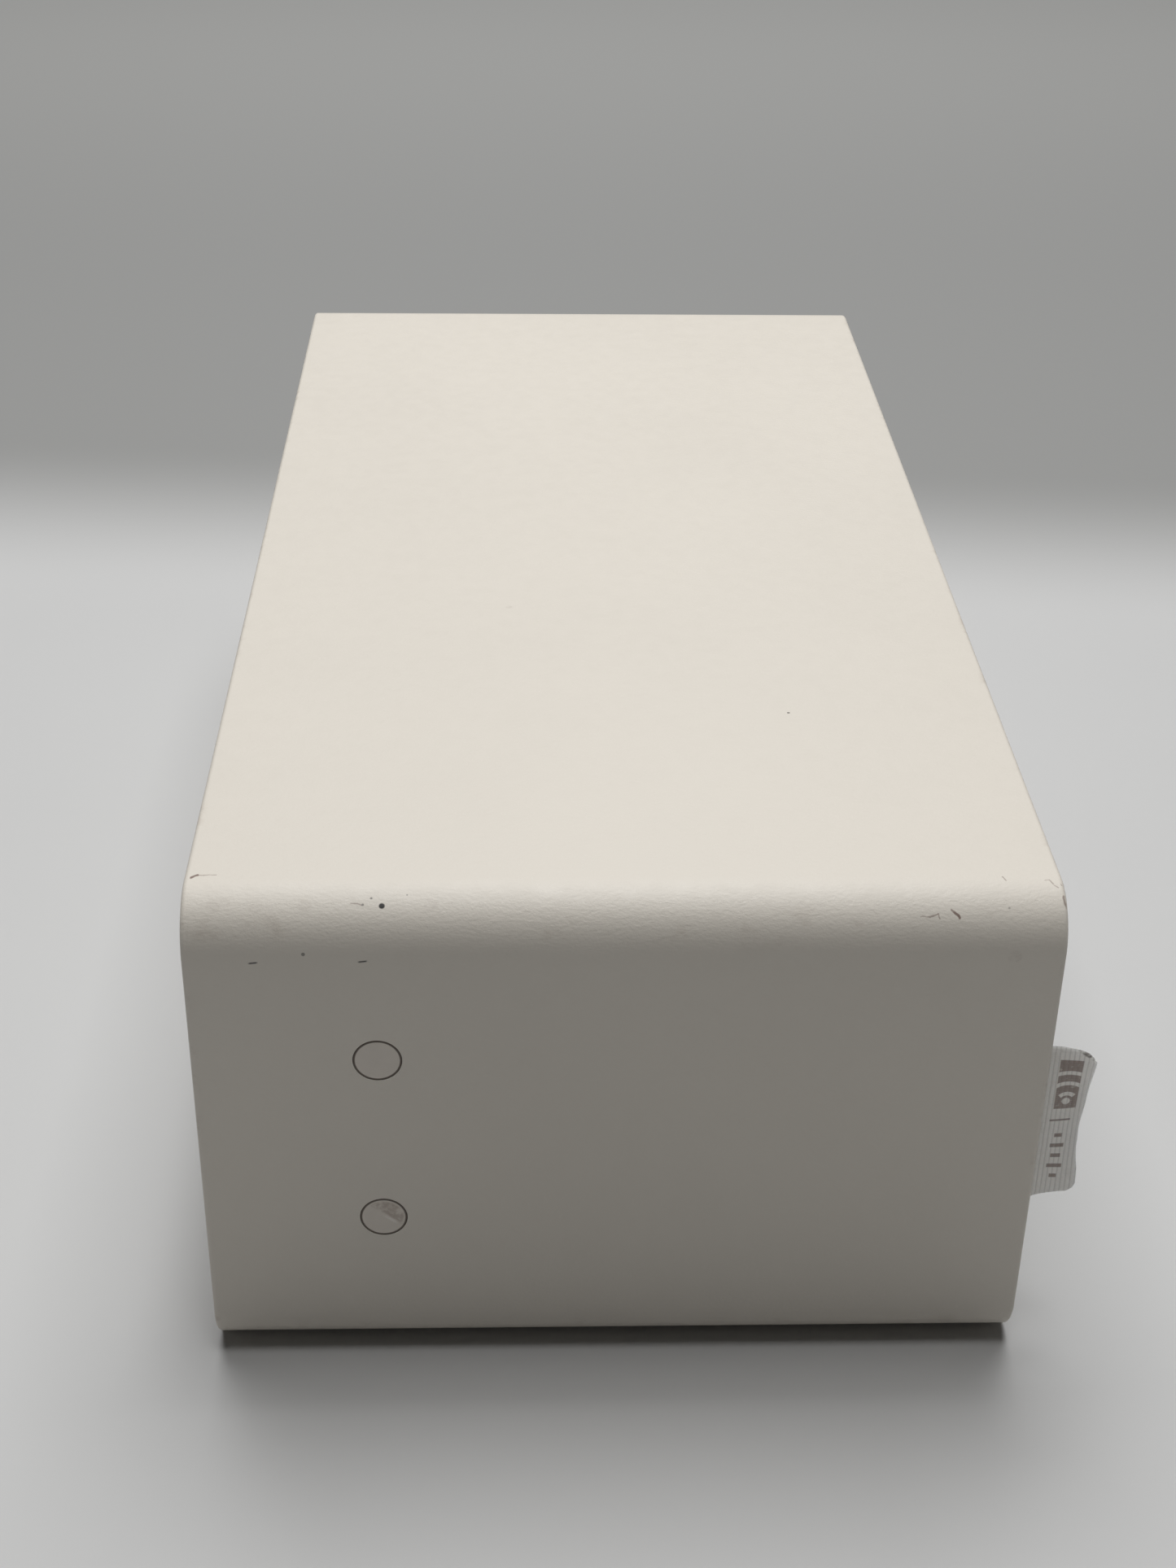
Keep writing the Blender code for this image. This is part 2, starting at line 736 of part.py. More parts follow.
def socket_block(name, offset, size, length, finish):
    """A socket's body: it stands a little out of the bay's floor, with a collar behind it."""
    y = BAY_Y + offset
    mouth_x = BAY_FLOOR_X - SOCKET_PROUD
    body = box(
        name,
        (mouth_x, y - size[0] / 2, MID_Z - size[1] / 2),
        (mouth_x + length, y + size[0] / 2, MID_Z + size[1] / 2),
        finish,
    )
    collar_x = BAY_FLOOR_X + BAY_WALL + GAP
    collar = box(
        name + "_collar",
        (collar_x, y - size[0] / 2 - 1.5 * MM, MID_Z - size[1] / 2 - 1.5 * MM),
        (collar_x + 1.5 * MM, y + size[0] / 2 + 1.5 * MM, MID_Z + size[1] / 2 + 1.5 * MM),
    )
    join(body, collar)
    return body, y, mouth_x


def mains_inlet():
    """Two-pin inlet whose mouth is a rounded oval."""
    body, y, mouth_x = socket_block("mains_inlet", INLET_OFFSET, INLET_SIZE, 14 * MM, "black_plastic")
    depth = 11 * MM
    oval = rounded_rectangle(16.6 * MM, 8.6 * MM, 4.29 * MM, (y, MID_Z), steps=5)
    cut(body, plate("inlet_mouth", [oval], mouth_x - MM, mouth_x + depth))
    for side in (-1, 1):
        pin = cylinder(
            f"inlet_pin_{side}",
            1.2 * MM,
            9.5 * MM,
            (mouth_x + depth + MM, y + side * 4.3 * MM, MID_Z),
            "-X",
            steps=SMALL_STEPS - 2,
        )
        join(body, pin)


def ethernet_jack():
    body, y, mouth_x = socket_block("ethernet_jack", JACK_OFFSET, JACK_SIZE, JACK_LENGTH, "steel")
    depth = 12 * MM
    low_z = MID_Z - 4.6 * MM
    mouth = box(
        "jack_mouth",
        (mouth_x - MM, y - 5.9 * MM, low_z),
        (mouth_x + depth, y + 5.9 * MM, low_z + 7.4 * MM),
    )
    latch = box(
        "jack_latch",
        (mouth_x - MM, y - 3.1 * MM, low_z + 7 * MM),
        (mouth_x + depth, y + 3.1 * MM, low_z + 10 * MM),
    )
    cut(body, mouth, latch)


def bass_port_tube():
    """Flared tube through the rear panel. Heights run from the panel's back face."""
    wall = PORT_WALL
    flange_low = PANEL_THICK + GAP
    inner_end = PORT_LENGTH
    flare = [
        (
            PORT_RADIUS + (PORT_MOUTH_RADIUS - PORT_RADIUS) * (1 - math.sin(angle)),
            (PORT_MOUTH_RADIUS - PORT_RADIUS) * 1.6 * (1 - math.cos(angle)),
        )
        for angle in [i * math.pi / 6 for i in range(4)]
    ]
    profile = [
        (PORT_RADIUS + 2 * wall, inner_end),
        (PORT_RADIUS + wall, inner_end - 4 * MM),
        (PORT_RADIUS + wall, flange_low + 5 * MM),
        (PORT_MOUTH_RADIUS + wall + 3 * MM, flange_low + 1.8 * MM),
        (PORT_MOUTH_RADIUS + wall + 3 * MM, flange_low),
        (PORT_MOUTH_RADIUS + wall, flange_low),
        (PORT_MOUTH_RADIUS + wall, 0),
        *flare,
        (PORT_RADIUS, inner_end - 4 * MM),
        (PORT_RADIUS + wall, inner_end),
    ]
    turned("bass_port_tube", profile, (PANEL_BACK_X, PORT_Y, MID_Z), "black_plastic")


# ---------------------------------------------------------------- baffle and grille
def grille_outline(inset):
    """The cloth's outer edge, moved inwards by inset."""
    radius = INNER_RADIUS - REVEAL - inset
    return rounded_rectangle(
        GRILLE_LENGTH - 2 * inset,
        GRILLE_HEIGHT - 2 * inset,
        max(radius, MM),
        (GRILLE_MID_Y, MID_Z),
        far_radius=max(SQUARE_CORNER - inset, 0.5 * MM),
        steps=5,
    )


def peg_places():
    inset = CLOTH_THICK + GAP + GRILLE_BAR / 2
    reach_z = GRILLE_HEIGHT / 2 - inset
    clear = 3 * GRILLE_BAR  # keeps the end pegs off the rounded corners
    rows = (GRILLE_PLUG_END_Y + clear, cross_bars()[1], GRILLE_CONTROL_END_Y - clear)
    return [(y, MID_Z + side * reach_z) for y in rows for side in (-1, 1)]


def cross_bars():
    """Y of the grille's cross bars: between the drivers, past the woofer, and past that."""
    between = (TWEETER_Y + TWEETER_FLANGE_RADIUS + WOOFER_Y - WOOFER_FLANGE_RADIUS) / 2
    past_woofer = WOOFER_Y + WOOFER_FLANGE_RADIUS + 6 * MM
    return [between, past_woofer, (past_woofer + GRILLE_CONTROL_END_Y) / 2]


def front_baffle():
    baffle = plate(
        "front_baffle",
        [
            inner_outline(GAP),
            circle(WOOFER_HOLE_RADIUS, (WOOFER_Y, MID_Z), DRIVER_STEPS),
            circle(TWEETER_HOLE_RADIUS, (TWEETER_Y, MID_Z), DRIVER_STEPS),
        ],
        BAFFLE_BACK_X,
        BAFFLE_FRONT_X,
        "black_plastic",
    )
    woofer_floor = DRIVER_FACE_X - FLANGE_THICK - 2 * GAP - GASKET_THICK
    recesses = {
        "woofer_recess": (WOOFER_FLANGE_RADIUS + GAP, WOOFER_Y, woofer_floor),
        "tweeter_recess": (TWEETER_FLANGE_RADIUS + GAP, TWEETER_Y, DRIVER_FACE_X - FLANGE_THICK - GAP),
    }
    for name, (radius, y, floor_x) in recesses.items():
        cut(baffle, screw_hole_round(name, radius, y, floor_x))
    for i, (y, z) in enumerate(peg_places(), 1):
        socket_floor = BAFFLE_FRONT_X - 4.2 * MM
        cut(
            baffle,
            screw_hole(f"peg_socket_{i}", y, z, socket_floor, BAFFLE_FRONT_X + MM, PEG_RADIUS + GAP),
        )
    for i, (y, z) in enumerate(woofer_screw_places() + tweeter_screw_places(), 1):
        cut(
            baffle,
            screw_hole(f"driver_hole_{i}", y, z, BAFFLE_BACK_X - MM, BAFFLE_FRONT_X + MM),
        )
    cut(
        baffle,
        screw_hole("cable_hole", BUTTON_Y + 3 * MM, MID_Z, BAFFLE_BACK_X - MM, BAFFLE_FRONT_X + MM, 2.4 * MM),
    )
    board_posts(
        "power_board",
        baffle,
        board_corners(POWER_BOARD_Y, POWER_BOARD_LENGTH, POWER_BOARD_HEIGHT),
        POWER_BOARD_FRONT_X + GAP,
        BAFFLE_BACK_X + MM,
        POWER_BOARD_BACK_X,
        POWER_BOARD_FRONT_X,
        "-X",
    )
    for i, (y, z) in enumerate(button_board_posts(), 1):
        low, high = BAFFLE_FRONT_X - MM, BUTTON_BOARD_BACK_X - GAP
        join(baffle, screw_hole(f"button_board_post_{i}", y, z, low, high, 1.8 * MM))
    ring = [inner_outline(GAP), inner_outline(GAP + GASKET_WIDTH)]
    plate("baffle_gasket", ring, GASKET_FRONT_X - GASKET_THICK, GASKET_FRONT_X, "foam")


def button_board_posts():
    reach = INNER_HEIGHT / 2 - STRIP_WALL - 11 * MM
    return [(STRIP_MID_Y + side_y * 7 * MM, MID_Z + side * reach) for side_y in (-1, 1) for side in (-1, 1)]


def screw_hole_round(name, radius, y, floor_x):
    """A wide round recess in the baffle's front, down to floor_x."""
    return cylinder(
        name, radius, BAFFLE_FRONT_X + MM - floor_x, (floor_x, y, MID_Z), "+X", steps=DRIVER_STEPS
    )


def grille():
    """A frame with cross bars and pegs, and the knitted cloth stretched over it."""
    inset = CLOTH_THICK + GAP
    frame_front = CLOTH_FACE_X - inset
    frame_back = CLOTH_BACK_X
    edges_y = [
        GRILLE_PLUG_END_Y + inset + GRILLE_BAR / 2,
        *cross_bars(),
        GRILLE_CONTROL_END_Y - inset - GRILLE_BAR / 2,
    ]
    frame = plate(
        "grille_frame", [grille_outline(inset)], frame_back, frame_front, "black_plastic"
    )
    window_height = GRILLE_HEIGHT - 2 * inset - 2 * GRILLE_BAR
    for i, (low_y, high_y) in enumerate(zip(edges_y, edges_y[1:]), 1):
        opening = rounded_rectangle(
            high_y - low_y - GRILLE_BAR,
            window_height,
            2 * MM,
            ((low_y + high_y) / 2, MID_Z),
            steps=2,
        )
        cut(frame, plate(f"grille_window_{i}", [opening], frame_back - MM, frame_front + MM))
    for i, (y, z) in enumerate(peg_places(), 1):
        peg = cylinder(
            f"grille_peg_{i}",
            PEG_RADIUS,
            PEG_LENGTH + MM,
            (frame_back + MM, y, z),
            "-X",
            steps=SMALL_STEPS,
        )
        join(frame, peg)
    cloth = plate("grille_cloth", [grille_outline(0)], CLOTH_BACK_X, CLOTH_FACE_X, "grille_cloth")
    round_edges(cloth, CLOTH_ROUND)
    hollow = plate(
        "cloth_hollow",
        [grille_outline(CLOTH_THICK)],
        CLOTH_BACK_X - CLOTH_ROUND * 2,
        CLOTH_FACE_X - CLOTH_THICK,
    )
    cut(cloth, hollow)
    tag_y = PLUG_END_Y + WALL + GAP
    tag_z = MID_Z + TAG_ABOVE_MIDDLE
    box(
        "label_tag",
        (FRONT_X - TAG_HELD, tag_y, tag_z - TAG_WIDTH / 2),
        (FRONT_X + TAG_STANDS_OUT, tag_y + TAG_THICK, tag_z + TAG_WIDTH / 2),
        "tag_ribbon",
    )


# ---------------------------------------------------------------- control strip
def button_heights():
    return {
        "volume_down_button": MID_Z - BUTTON_PITCH,
        "play_button": MID_Z,
        "volume_up_button": MID_Z + BUTTON_PITCH,
    }


def control_strip():
    length, height = STRIP_LENGTH - GAP, INNER_HEIGHT - 2 * GAP
    centre = (STRIP_MID_Y, MID_Z)
    back_x = BAFFLE_FRONT_X + GAP
    far_radius = INNER_RADIUS - GAP
    strip = plate(
        "control_strip",
        [rounded_rectangle(length, height, SQUARE_CORNER, centre, far_radius)],
        back_x,
        STRIP_FACE_X,
        "white_plastic",
    )
    round_edges(strip, STRIP_ROUND)
    hollow = plate(
        "strip_hollow",
        [
            rounded_rectangle(
                length - 2 * STRIP_WALL,
                height - 2 * STRIP_WALL,
                MM,
                centre,
                far_radius - STRIP_WALL,
                steps=4,
            )
        ],
        back_x - MM,
        STRIP_FACE_X - STRIP_WALL,
    )
    cut(strip, hollow)
    face_low, face_high = STRIP_FACE_X - STRIP_WALL - MM, STRIP_FACE_X + MM
    for name, z in button_heights().items():
        hole = cylinder(
            name + "_hole",
            BUTTON_RADIUS + GAP,
            face_high - face_low,
            (face_low, BUTTON_Y, z),
            "+X",
        )
        cut(strip, hole)
        push_button(name, z)
    cut(strip, screw_hole("lens_hole", LENS_Y, MID_Z, face_low, face_high, LENS_RADIUS + GAP))
    cylinder(
        "status_lens",
        LENS_RADIUS,
        STRIP_FACE_X - KEYPAD_BACK_X,
        (KEYPAD_BACK_X, LENS_Y, MID_Z),
        "+X",
        "clear_lens",
        SMALL_STEPS,
    )


def push_button(name, z):
    """A round cap with a rim that keeps it behind the strip, and a stem over the keypad."""
    rim_x = STRIP_FACE_X - STRIP_WALL - GAP
    profile = [
        (0, STRIP_FACE_X + BUTTON_PROUD),
        (BUTTON_RADIUS - 0.8 * MM, STRIP_FACE_X + BUTTON_PROUD),
        (BUTTON_RADIUS, STRIP_FACE_X + BUTTON_PROUD - 0.5 * MM),
        (BUTTON_RADIUS, rim_x),
        (BUTTON_RADIUS + BUTTON_RIM, rim_x),
        (BUTTON_RADIUS + BUTTON_RIM, rim_x - BUTTON_RIM_THICK),
        (BUTTON_STEM_RADIUS, rim_x - BUTTON_RIM_THICK),
        (BUTTON_STEM_RADIUS, BUTTON_STEM_X),
        (0, BUTTON_STEM_X),
    ]
    turned(name, profile, (0, BUTTON_Y, z), "white_button", ROUND_STEPS)


def keypad_and_board():
    """The rubber keypad and, under it, the small board that the buttons work."""
    half_length = STRIP_LENGTH / 2 - STRIP_WALL - 1.5 * MM
    half_height = INNER_HEIGHT / 2 - STRIP_WALL - 8 * MM
    keypad_low_y = LENS_Y + LENS_RADIUS + 2 * MM
    keypad = box(
        "keypad_membrane",
        (KEYPAD_BACK_X, keypad_low_y, MID_Z - half_height),
        (KEYPAD_BACK_X + KEYPAD_THICK, STRIP_MID_Y + half_length, MID_Z + half_height),
        "black_rubber",
    )
    for name, z in button_heights().items():
        dome = cylinder(
            name + "_dome",
            4.6 * MM,
            DOME_HEIGHT + KEYPAD_THICK / 2,
            (KEYPAD_BACK_X + KEYPAD_THICK / 2, BUTTON_Y, z),
            "+X",
            steps=SMALL_STEPS,
            tip=3.2 * MM,
        )
        join(keypad, dome)
    box(
        "button_board",
        (BUTTON_BOARD_BACK_X, STRIP_MID_Y - half_length, MID_Z - half_height),
        (BUTTON_BOARD_FRONT_X, STRIP_MID_Y + half_length, MID_Z + half_height),
        "circuit_board",
    )


# ---------------------------------------------------------------- woofer
# Heights in the driver profiles run from the flange's front face, towards the front.
def woofer_screw_places():
    return ring_of(4, WOOFER_SCREW_CIRCLE, (WOOFER_Y, MID_Z), 45)


def woofer():
    centre = (DRIVER_FACE_X, WOOFER_Y, MID_Z)
    flange = WOOFER_FLANGE_RADIUS
    wall_top = WOOFER_HOLE_RADIUS - 2 * GAP
    wall_foot = WOOFER_HOLE_RADIUS - BASKET_TAPER
    foot = -29 * MM
    floor = foot + 1.8 * MM
    spider_seat = -20.5 * MM
    plate_bore = COIL_RADIUS + COIL_WALL + 1.2 * MM
    landing = wall_top - 2 * MM
    basket = turned(
        "woofer_basket",
        [
            (flange, 0),
            (flange, -FLANGE_THICK),
            (wall_top, -FLANGE_THICK),
            (wall_foot, foot),
            (plate_bore + 0.4 * MM, foot),
            (plate_bore + 0.4 * MM, floor),
            (wall_foot - 1.8 * MM, floor),
            (wall_foot - 1.8 * MM, spider_seat),
            (wall_foot + 0.8 * MM, spider_seat),
            (landing, -FLANGE_THICK),
            (landing, 0),
        ],
        centre,
        "black_plastic",
    )
    for i, (y, z) in enumerate(ring_of(6, wall_foot + 3 * MM, (WOOFER_Y, MID_Z), 30), 1):
        angle = math.radians(30 + 60 * (i - 1))
        window = box(
            f"basket_window_{i}", (-7 * MM, -8 * MM, -7 * MM), (7 * MM, 8 * MM, 7 * MM)
        )
        window.location = (DRIVER_FACE_X - 11 * MM, y, z)
        window.rotation_euler = (angle, 0, 0)
        window.scale = (0.85, 1, 1)
        cut(basket, window)
    for i, (y, z) in enumerate(woofer_screw_places(), 1):
        low, high = DRIVER_FACE_X - FLANGE_THICK - MM, DRIVER_FACE_X + MM
        cut(basket, screw_hole(f"flange_hole_{i}", y, z, low, high))
        screw(f"woofer_screw_{i}", DRIVER_FACE_X + GAP, y, z, 9 * MM, "-X")
    gasket_front = DRIVER_FACE_X - FLANGE_THICK - GAP
    plate(
        "woofer_gasket",
        [
            circle(flange - GAP, (WOOFER_Y, MID_Z), DRIVER_STEPS),
            circle(WOOFER_HOLE_RADIUS + GAP, (WOOFER_Y, MID_Z), DRIVER_STEPS),
            *[circle(SCREW_RADIUS + GAP, place, 10) for place in woofer_screw_places()],
        ],
        gasket_front - GASKET_THICK,
        gasket_front,
        "foam",
    )
    woofer_motor(centre, foot, plate_bore, wall_foot)
    woofer_moving_parts(centre, spider_seat, landing, wall_foot)


def woofer_motor(centre, foot, plate_bore, wall_foot):
    """Top plate, magnet ring, and the yoke whose pole stands inside the voice coil."""
    top_thick, magnet_thick, yoke_thick = 4 * MM, 11 * MM, 4 * MM
    top = foot - GAP
    plate_profile = ring(plate_bore, wall_foot + 1.2 * MM, top, top - top_thick)
    turned("woofer_top_plate", plate_profile, centre, "steel")
    magnet_top = top - top_thick - GAP
    turned(
        "woofer_magnet",
        ring(17 * MM, 34 * MM, magnet_top, magnet_top - magnet_thick),
        centre,
        "ferrite",
    )
    yoke_top = magnet_top - magnet_thick - GAP
    pole = COIL_RADIUS - 0.8 * MM
    vent = 3.2 * MM
    turned(
        "woofer_yoke",
        [
            (pole, top),
            (pole, yoke_top),
            (31 * MM, yoke_top),
            (31 * MM, yoke_top - yoke_thick),
            (vent, yoke_top - yoke_thick),
            (vent, top),
        ],
        centre,
        "steel",
    )


def ring(inner, outer, high, low):
    """Profile of a plain ring."""
    return [(outer, high), (outer, low), (inner, low), (inner, high)]


def woofer_moving_parts(centre, spider_seat, landing, wall_foot):
    coil_outer = COIL_RADIUS + COIL_WALL
    neck = coil_outer + GAP
    thick = 0.8 * MM
    neck_height, rim_height = -14.6 * MM, -0.4 * MM

    def cone_height(share):
        """Height of the cone's front face, from the rim (0) to the neck (1)."""
        return rim_height + (neck_height - rim_height) * share**0.85

    shares = [0, 0.3, 0.65, 1]
    front = [(CONE_RADIUS + (neck - CONE_RADIUS) * s, cone_height(s)) for s in shares]
    back = [(radius, height - thick) for radius, height in front]
    turned("woofer_cone", back + front[::-1], centre, "paper_cone")

    def face_at(radius):
        """Height of the cone's front at a radius, straight between its rings."""
        for (outer, high), (inner, low) in zip(front, front[1:]):
            if radius >= inner:
                return low + (high - low) * (radius - inner) / (outer - inner)

    cap_radius, cap_rise = neck + CAP_LANDING, 4.2 * MM
    cap_foot = face_at(cap_radius) + CAP_SPACE
    angles = [i * math.pi / 6 for i in range(4)]
    dome = [(cap_radius * math.sin(a), cap_foot + cap_rise * math.cos(a)) for a in angles]
    inside = [(max(r - thick, 0), h - thick) for r, h in dome]
    turned("woofer_dust_cap", dome + inside[::-1], centre, "black_rubber")

    coil_foot = -37.5 * MM
    turned(
        "woofer_voice_coil",
        [
            (coil_outer, -14 * MM),
            (coil_outer, -28.5 * MM),
            (coil_outer + 0.5 * MM, -28.5 * MM),
            (coil_outer + 0.5 * MM, coil_foot),
            (COIL_RADIUS, coil_foot),
            (COIL_RADIUS, -14 * MM),
        ],
        centre,
        "copper_coil",
    )

    roll_inner, roll_outer = CONE_RADIUS + GAP, landing - GAP
    roll_mid, roll_half = (roll_inner + roll_outer) / 2, (roll_outer - roll_inner) / 2
    arc = [math.pi * i / 4 for i in range(5)]
    skin = 0.6 * MM
    over = [(roll_mid + roll_half * math.cos(a), roll_half * math.sin(a)) for a in arc]
    under = [
        (roll_mid + (roll_half - skin) * math.cos(a), (roll_half - skin) * math.sin(a) - skin)
        for a in arc
    ]
    turned("woofer_surround", [*under, *over[::-1]], centre, "black_rubber")

    edge, hub = wall_foot + 0.1 * MM, coil_outer + 0.5 * MM
    waves = 3
    steps = 2 * waves
    top = []
    for i in range(steps + 1):
        wave = 0.45 * MM * math.cos(2 * math.pi * waves * i / steps)
        top.append((edge + (hub - edge) * i / steps, spider_seat + GAP + 1.2 * MM + wave))
    bottom = [(radius, height - 0.5 * MM) for radius, height in top]
    turned("woofer_spider", bottom + top[::-1], centre, "cloth_spider")


# ---------------------------------------------------------------- tweeter
def tweeter_screw_places():
    return ring_of(2, TWEETER_SCREW_CIRCLE, (TWEETER_Y, MID_Z), 90)


def tweeter():
    centre = (DRIVER_FACE_X, TWEETER_Y, MID_Z)
    throat, mouth = TWEETER_DOME_RADIUS + MM, TWEETER_FLANGE_RADIUS - HORN_INSET
    back = -8.5 * MM
    body = TWEETER_HOLE_RADIUS - GAP
    horn = [
        (
            throat + (mouth - throat) * (1 - math.cos(a)),
            -6 * MM * (1 - math.sin(a)),
        )
        for a in [i * math.pi / 6 for i in range(4)]
    ]
    face = turned(
        "tweeter_faceplate",
        [
            (TWEETER_FLANGE_RADIUS, 0),
            (TWEETER_FLANGE_RADIUS, -FLANGE_THICK),
            (body, -FLANGE_THICK),
            (body, back),
            (throat, back),
            *horn,
        ],
        centre,
        "black_plastic",
    )
    for i, (y, z) in enumerate(tweeter_screw_places(), 1):
        low, high = DRIVER_FACE_X - FLANGE_THICK - MM, DRIVER_FACE_X + MM
        cut(face, screw_hole(f"face_hole_{i}", y, z, low, high))
        screw(f"tweeter_screw_{i}", DRIVER_FACE_X + GAP, y, z, 8 * MM, "-X")

    skin, dome_foot, rise, coil_foot = 0.5 * MM, -7.2 * MM, 4.6 * MM, -14 * MM
    angles = [i * math.pi / 6 for i in range(4)]
    dome = [
        (TWEETER_DOME_RADIUS * math.sin(a), dome_foot + rise * math.cos(a)) for a in angles
    ]
    inside = [(r * (1 - skin / TWEETER_DOME_RADIUS), h - skin) for r, h in dome]
    outline = [*dome, (TWEETER_DOME_RADIUS, coil_foot)]
    outline += [(TWEETER_DOME_RADIUS - skin, coil_foot), *inside[::-1]]
    turned("tweeter_dome", outline, centre, "black_rubber")

    top, magnet_radius = back - GAP, 22 * MM
    plate_foot = top - 3 * MM
    bore = TWEETER_DOME_RADIUS + 0.6 * MM
    turned("tweeter_top_plate", ring(bore, magnet_radius, top, plate_foot), centre, "steel")
    magnet_top = plate_foot - GAP
    magnet_foot = magnet_top - 7 * MM
    turned(
        "tweeter_magnet",
        ring(bore + 1.4 * MM, magnet_radius, magnet_top, magnet_foot),
        centre,
        "ferrite",
    )
    pole = TWEETER_DOME_RADIUS - skin - 0.6 * MM
    yoke_top = magnet_foot - GAP
    turned(
        "tweeter_yoke",
        [
            (0, top),
            (pole, top),
            (pole, yoke_top),
            (magnet_radius, yoke_top),
            (magnet_radius, yoke_top - 3 * MM),
            (0, yoke_top - 3 * MM),
        ],
        centre,
        "steel",
    )


# ---------------------------------------------------------------- electronics
def circuit_board(name, centre_y, length, height, low_x, high_x):
    outline = rounded_rectangle(length, height, 2 * MM, (centre_y, MID_Z), steps=2)
    holes = [
        circle(STAKE_RADIUS + GAP, place, 10) for place in board_corners(centre_y, length, height)
    ]
    plate(name, [outline, *holes], low_x, high_x, "circuit_board")


def electronics():
    circuit_board(
        "main_board",
        MAIN_BOARD_Y,
        MAIN_BOARD_LENGTH,
        MAIN_BOARD_HEIGHT,
        MAIN_BOARD_BACK_X,
        MAIN_BOARD_FRONT_X,
    )
    front = MAIN_BOARD_FRONT_X + GAP
    y = MAIN_BOARD_Y
    box(
        "processor_shield",
        (front, y - 2 * MM, MID_Z + 2 * MM),
        (front + 3.5 * MM, y + 30 * MM, MID_Z + 30 * MM),
        "steel",
        0.5 * MM,
    )
    heat_sink(front, y - 30 * MM, MID_Z - 30 * MM)
    circuit_board(
        "power_board",
        POWER_BOARD_Y,
        POWER_BOARD_LENGTH,
        POWER_BOARD_HEIGHT,
        POWER_BOARD_BACK_X,
        POWER_BOARD_FRONT_X,
    )
    back = POWER_BOARD_BACK_X - GAP
    y = POWER_BOARD_Y
    core = box(
        "mains_transformer",
        (back - 22 * MM, y - 34 * MM, MID_Z + 4 * MM),
        (back - 2 * MM, y - 4 * MM, MID_Z + 26 * MM),
        "winding_tape",
        MM,
    )
    bobbin = box(
        "transformer_bobbin",
        (back - 24 * MM, y - 30 * MM, MID_Z + MM),
        (back, y - 8 * MM, MID_Z + 29 * MM),
    )
    join(core, bobbin)
    cylinder(
        "filter_capacitor", 9 * MM, 25 * MM, (back, y + 22 * MM, MID_Z - 16 * MM), "-X", "capacitor_sleeve"
    )


def heat_sink(base_x, low_y, low_z):
    """A comb of fins on a base plate, made as one outline and extruded upwards."""
    fins, pitch, fin, height, base = 7, 6 * MM, 2 * MM, 14 * MM, 3 * MM
    comb = [(base_x, low_y)]
    for i in range(fins):
        start = low_y + i * pitch
        comb += [(base_x + height, start), (base_x + height, start + fin)]
        if i < fins - 1:
            comb += [(base_x + base, start + fin), (base_x + base, start + pitch)]
    comb.append((base_x, low_y + (fins - 1) * pitch + fin))
    plate("amplifier_heat_sink", [comb], low_z, low_z + 26 * MM, "aluminium", "Z")


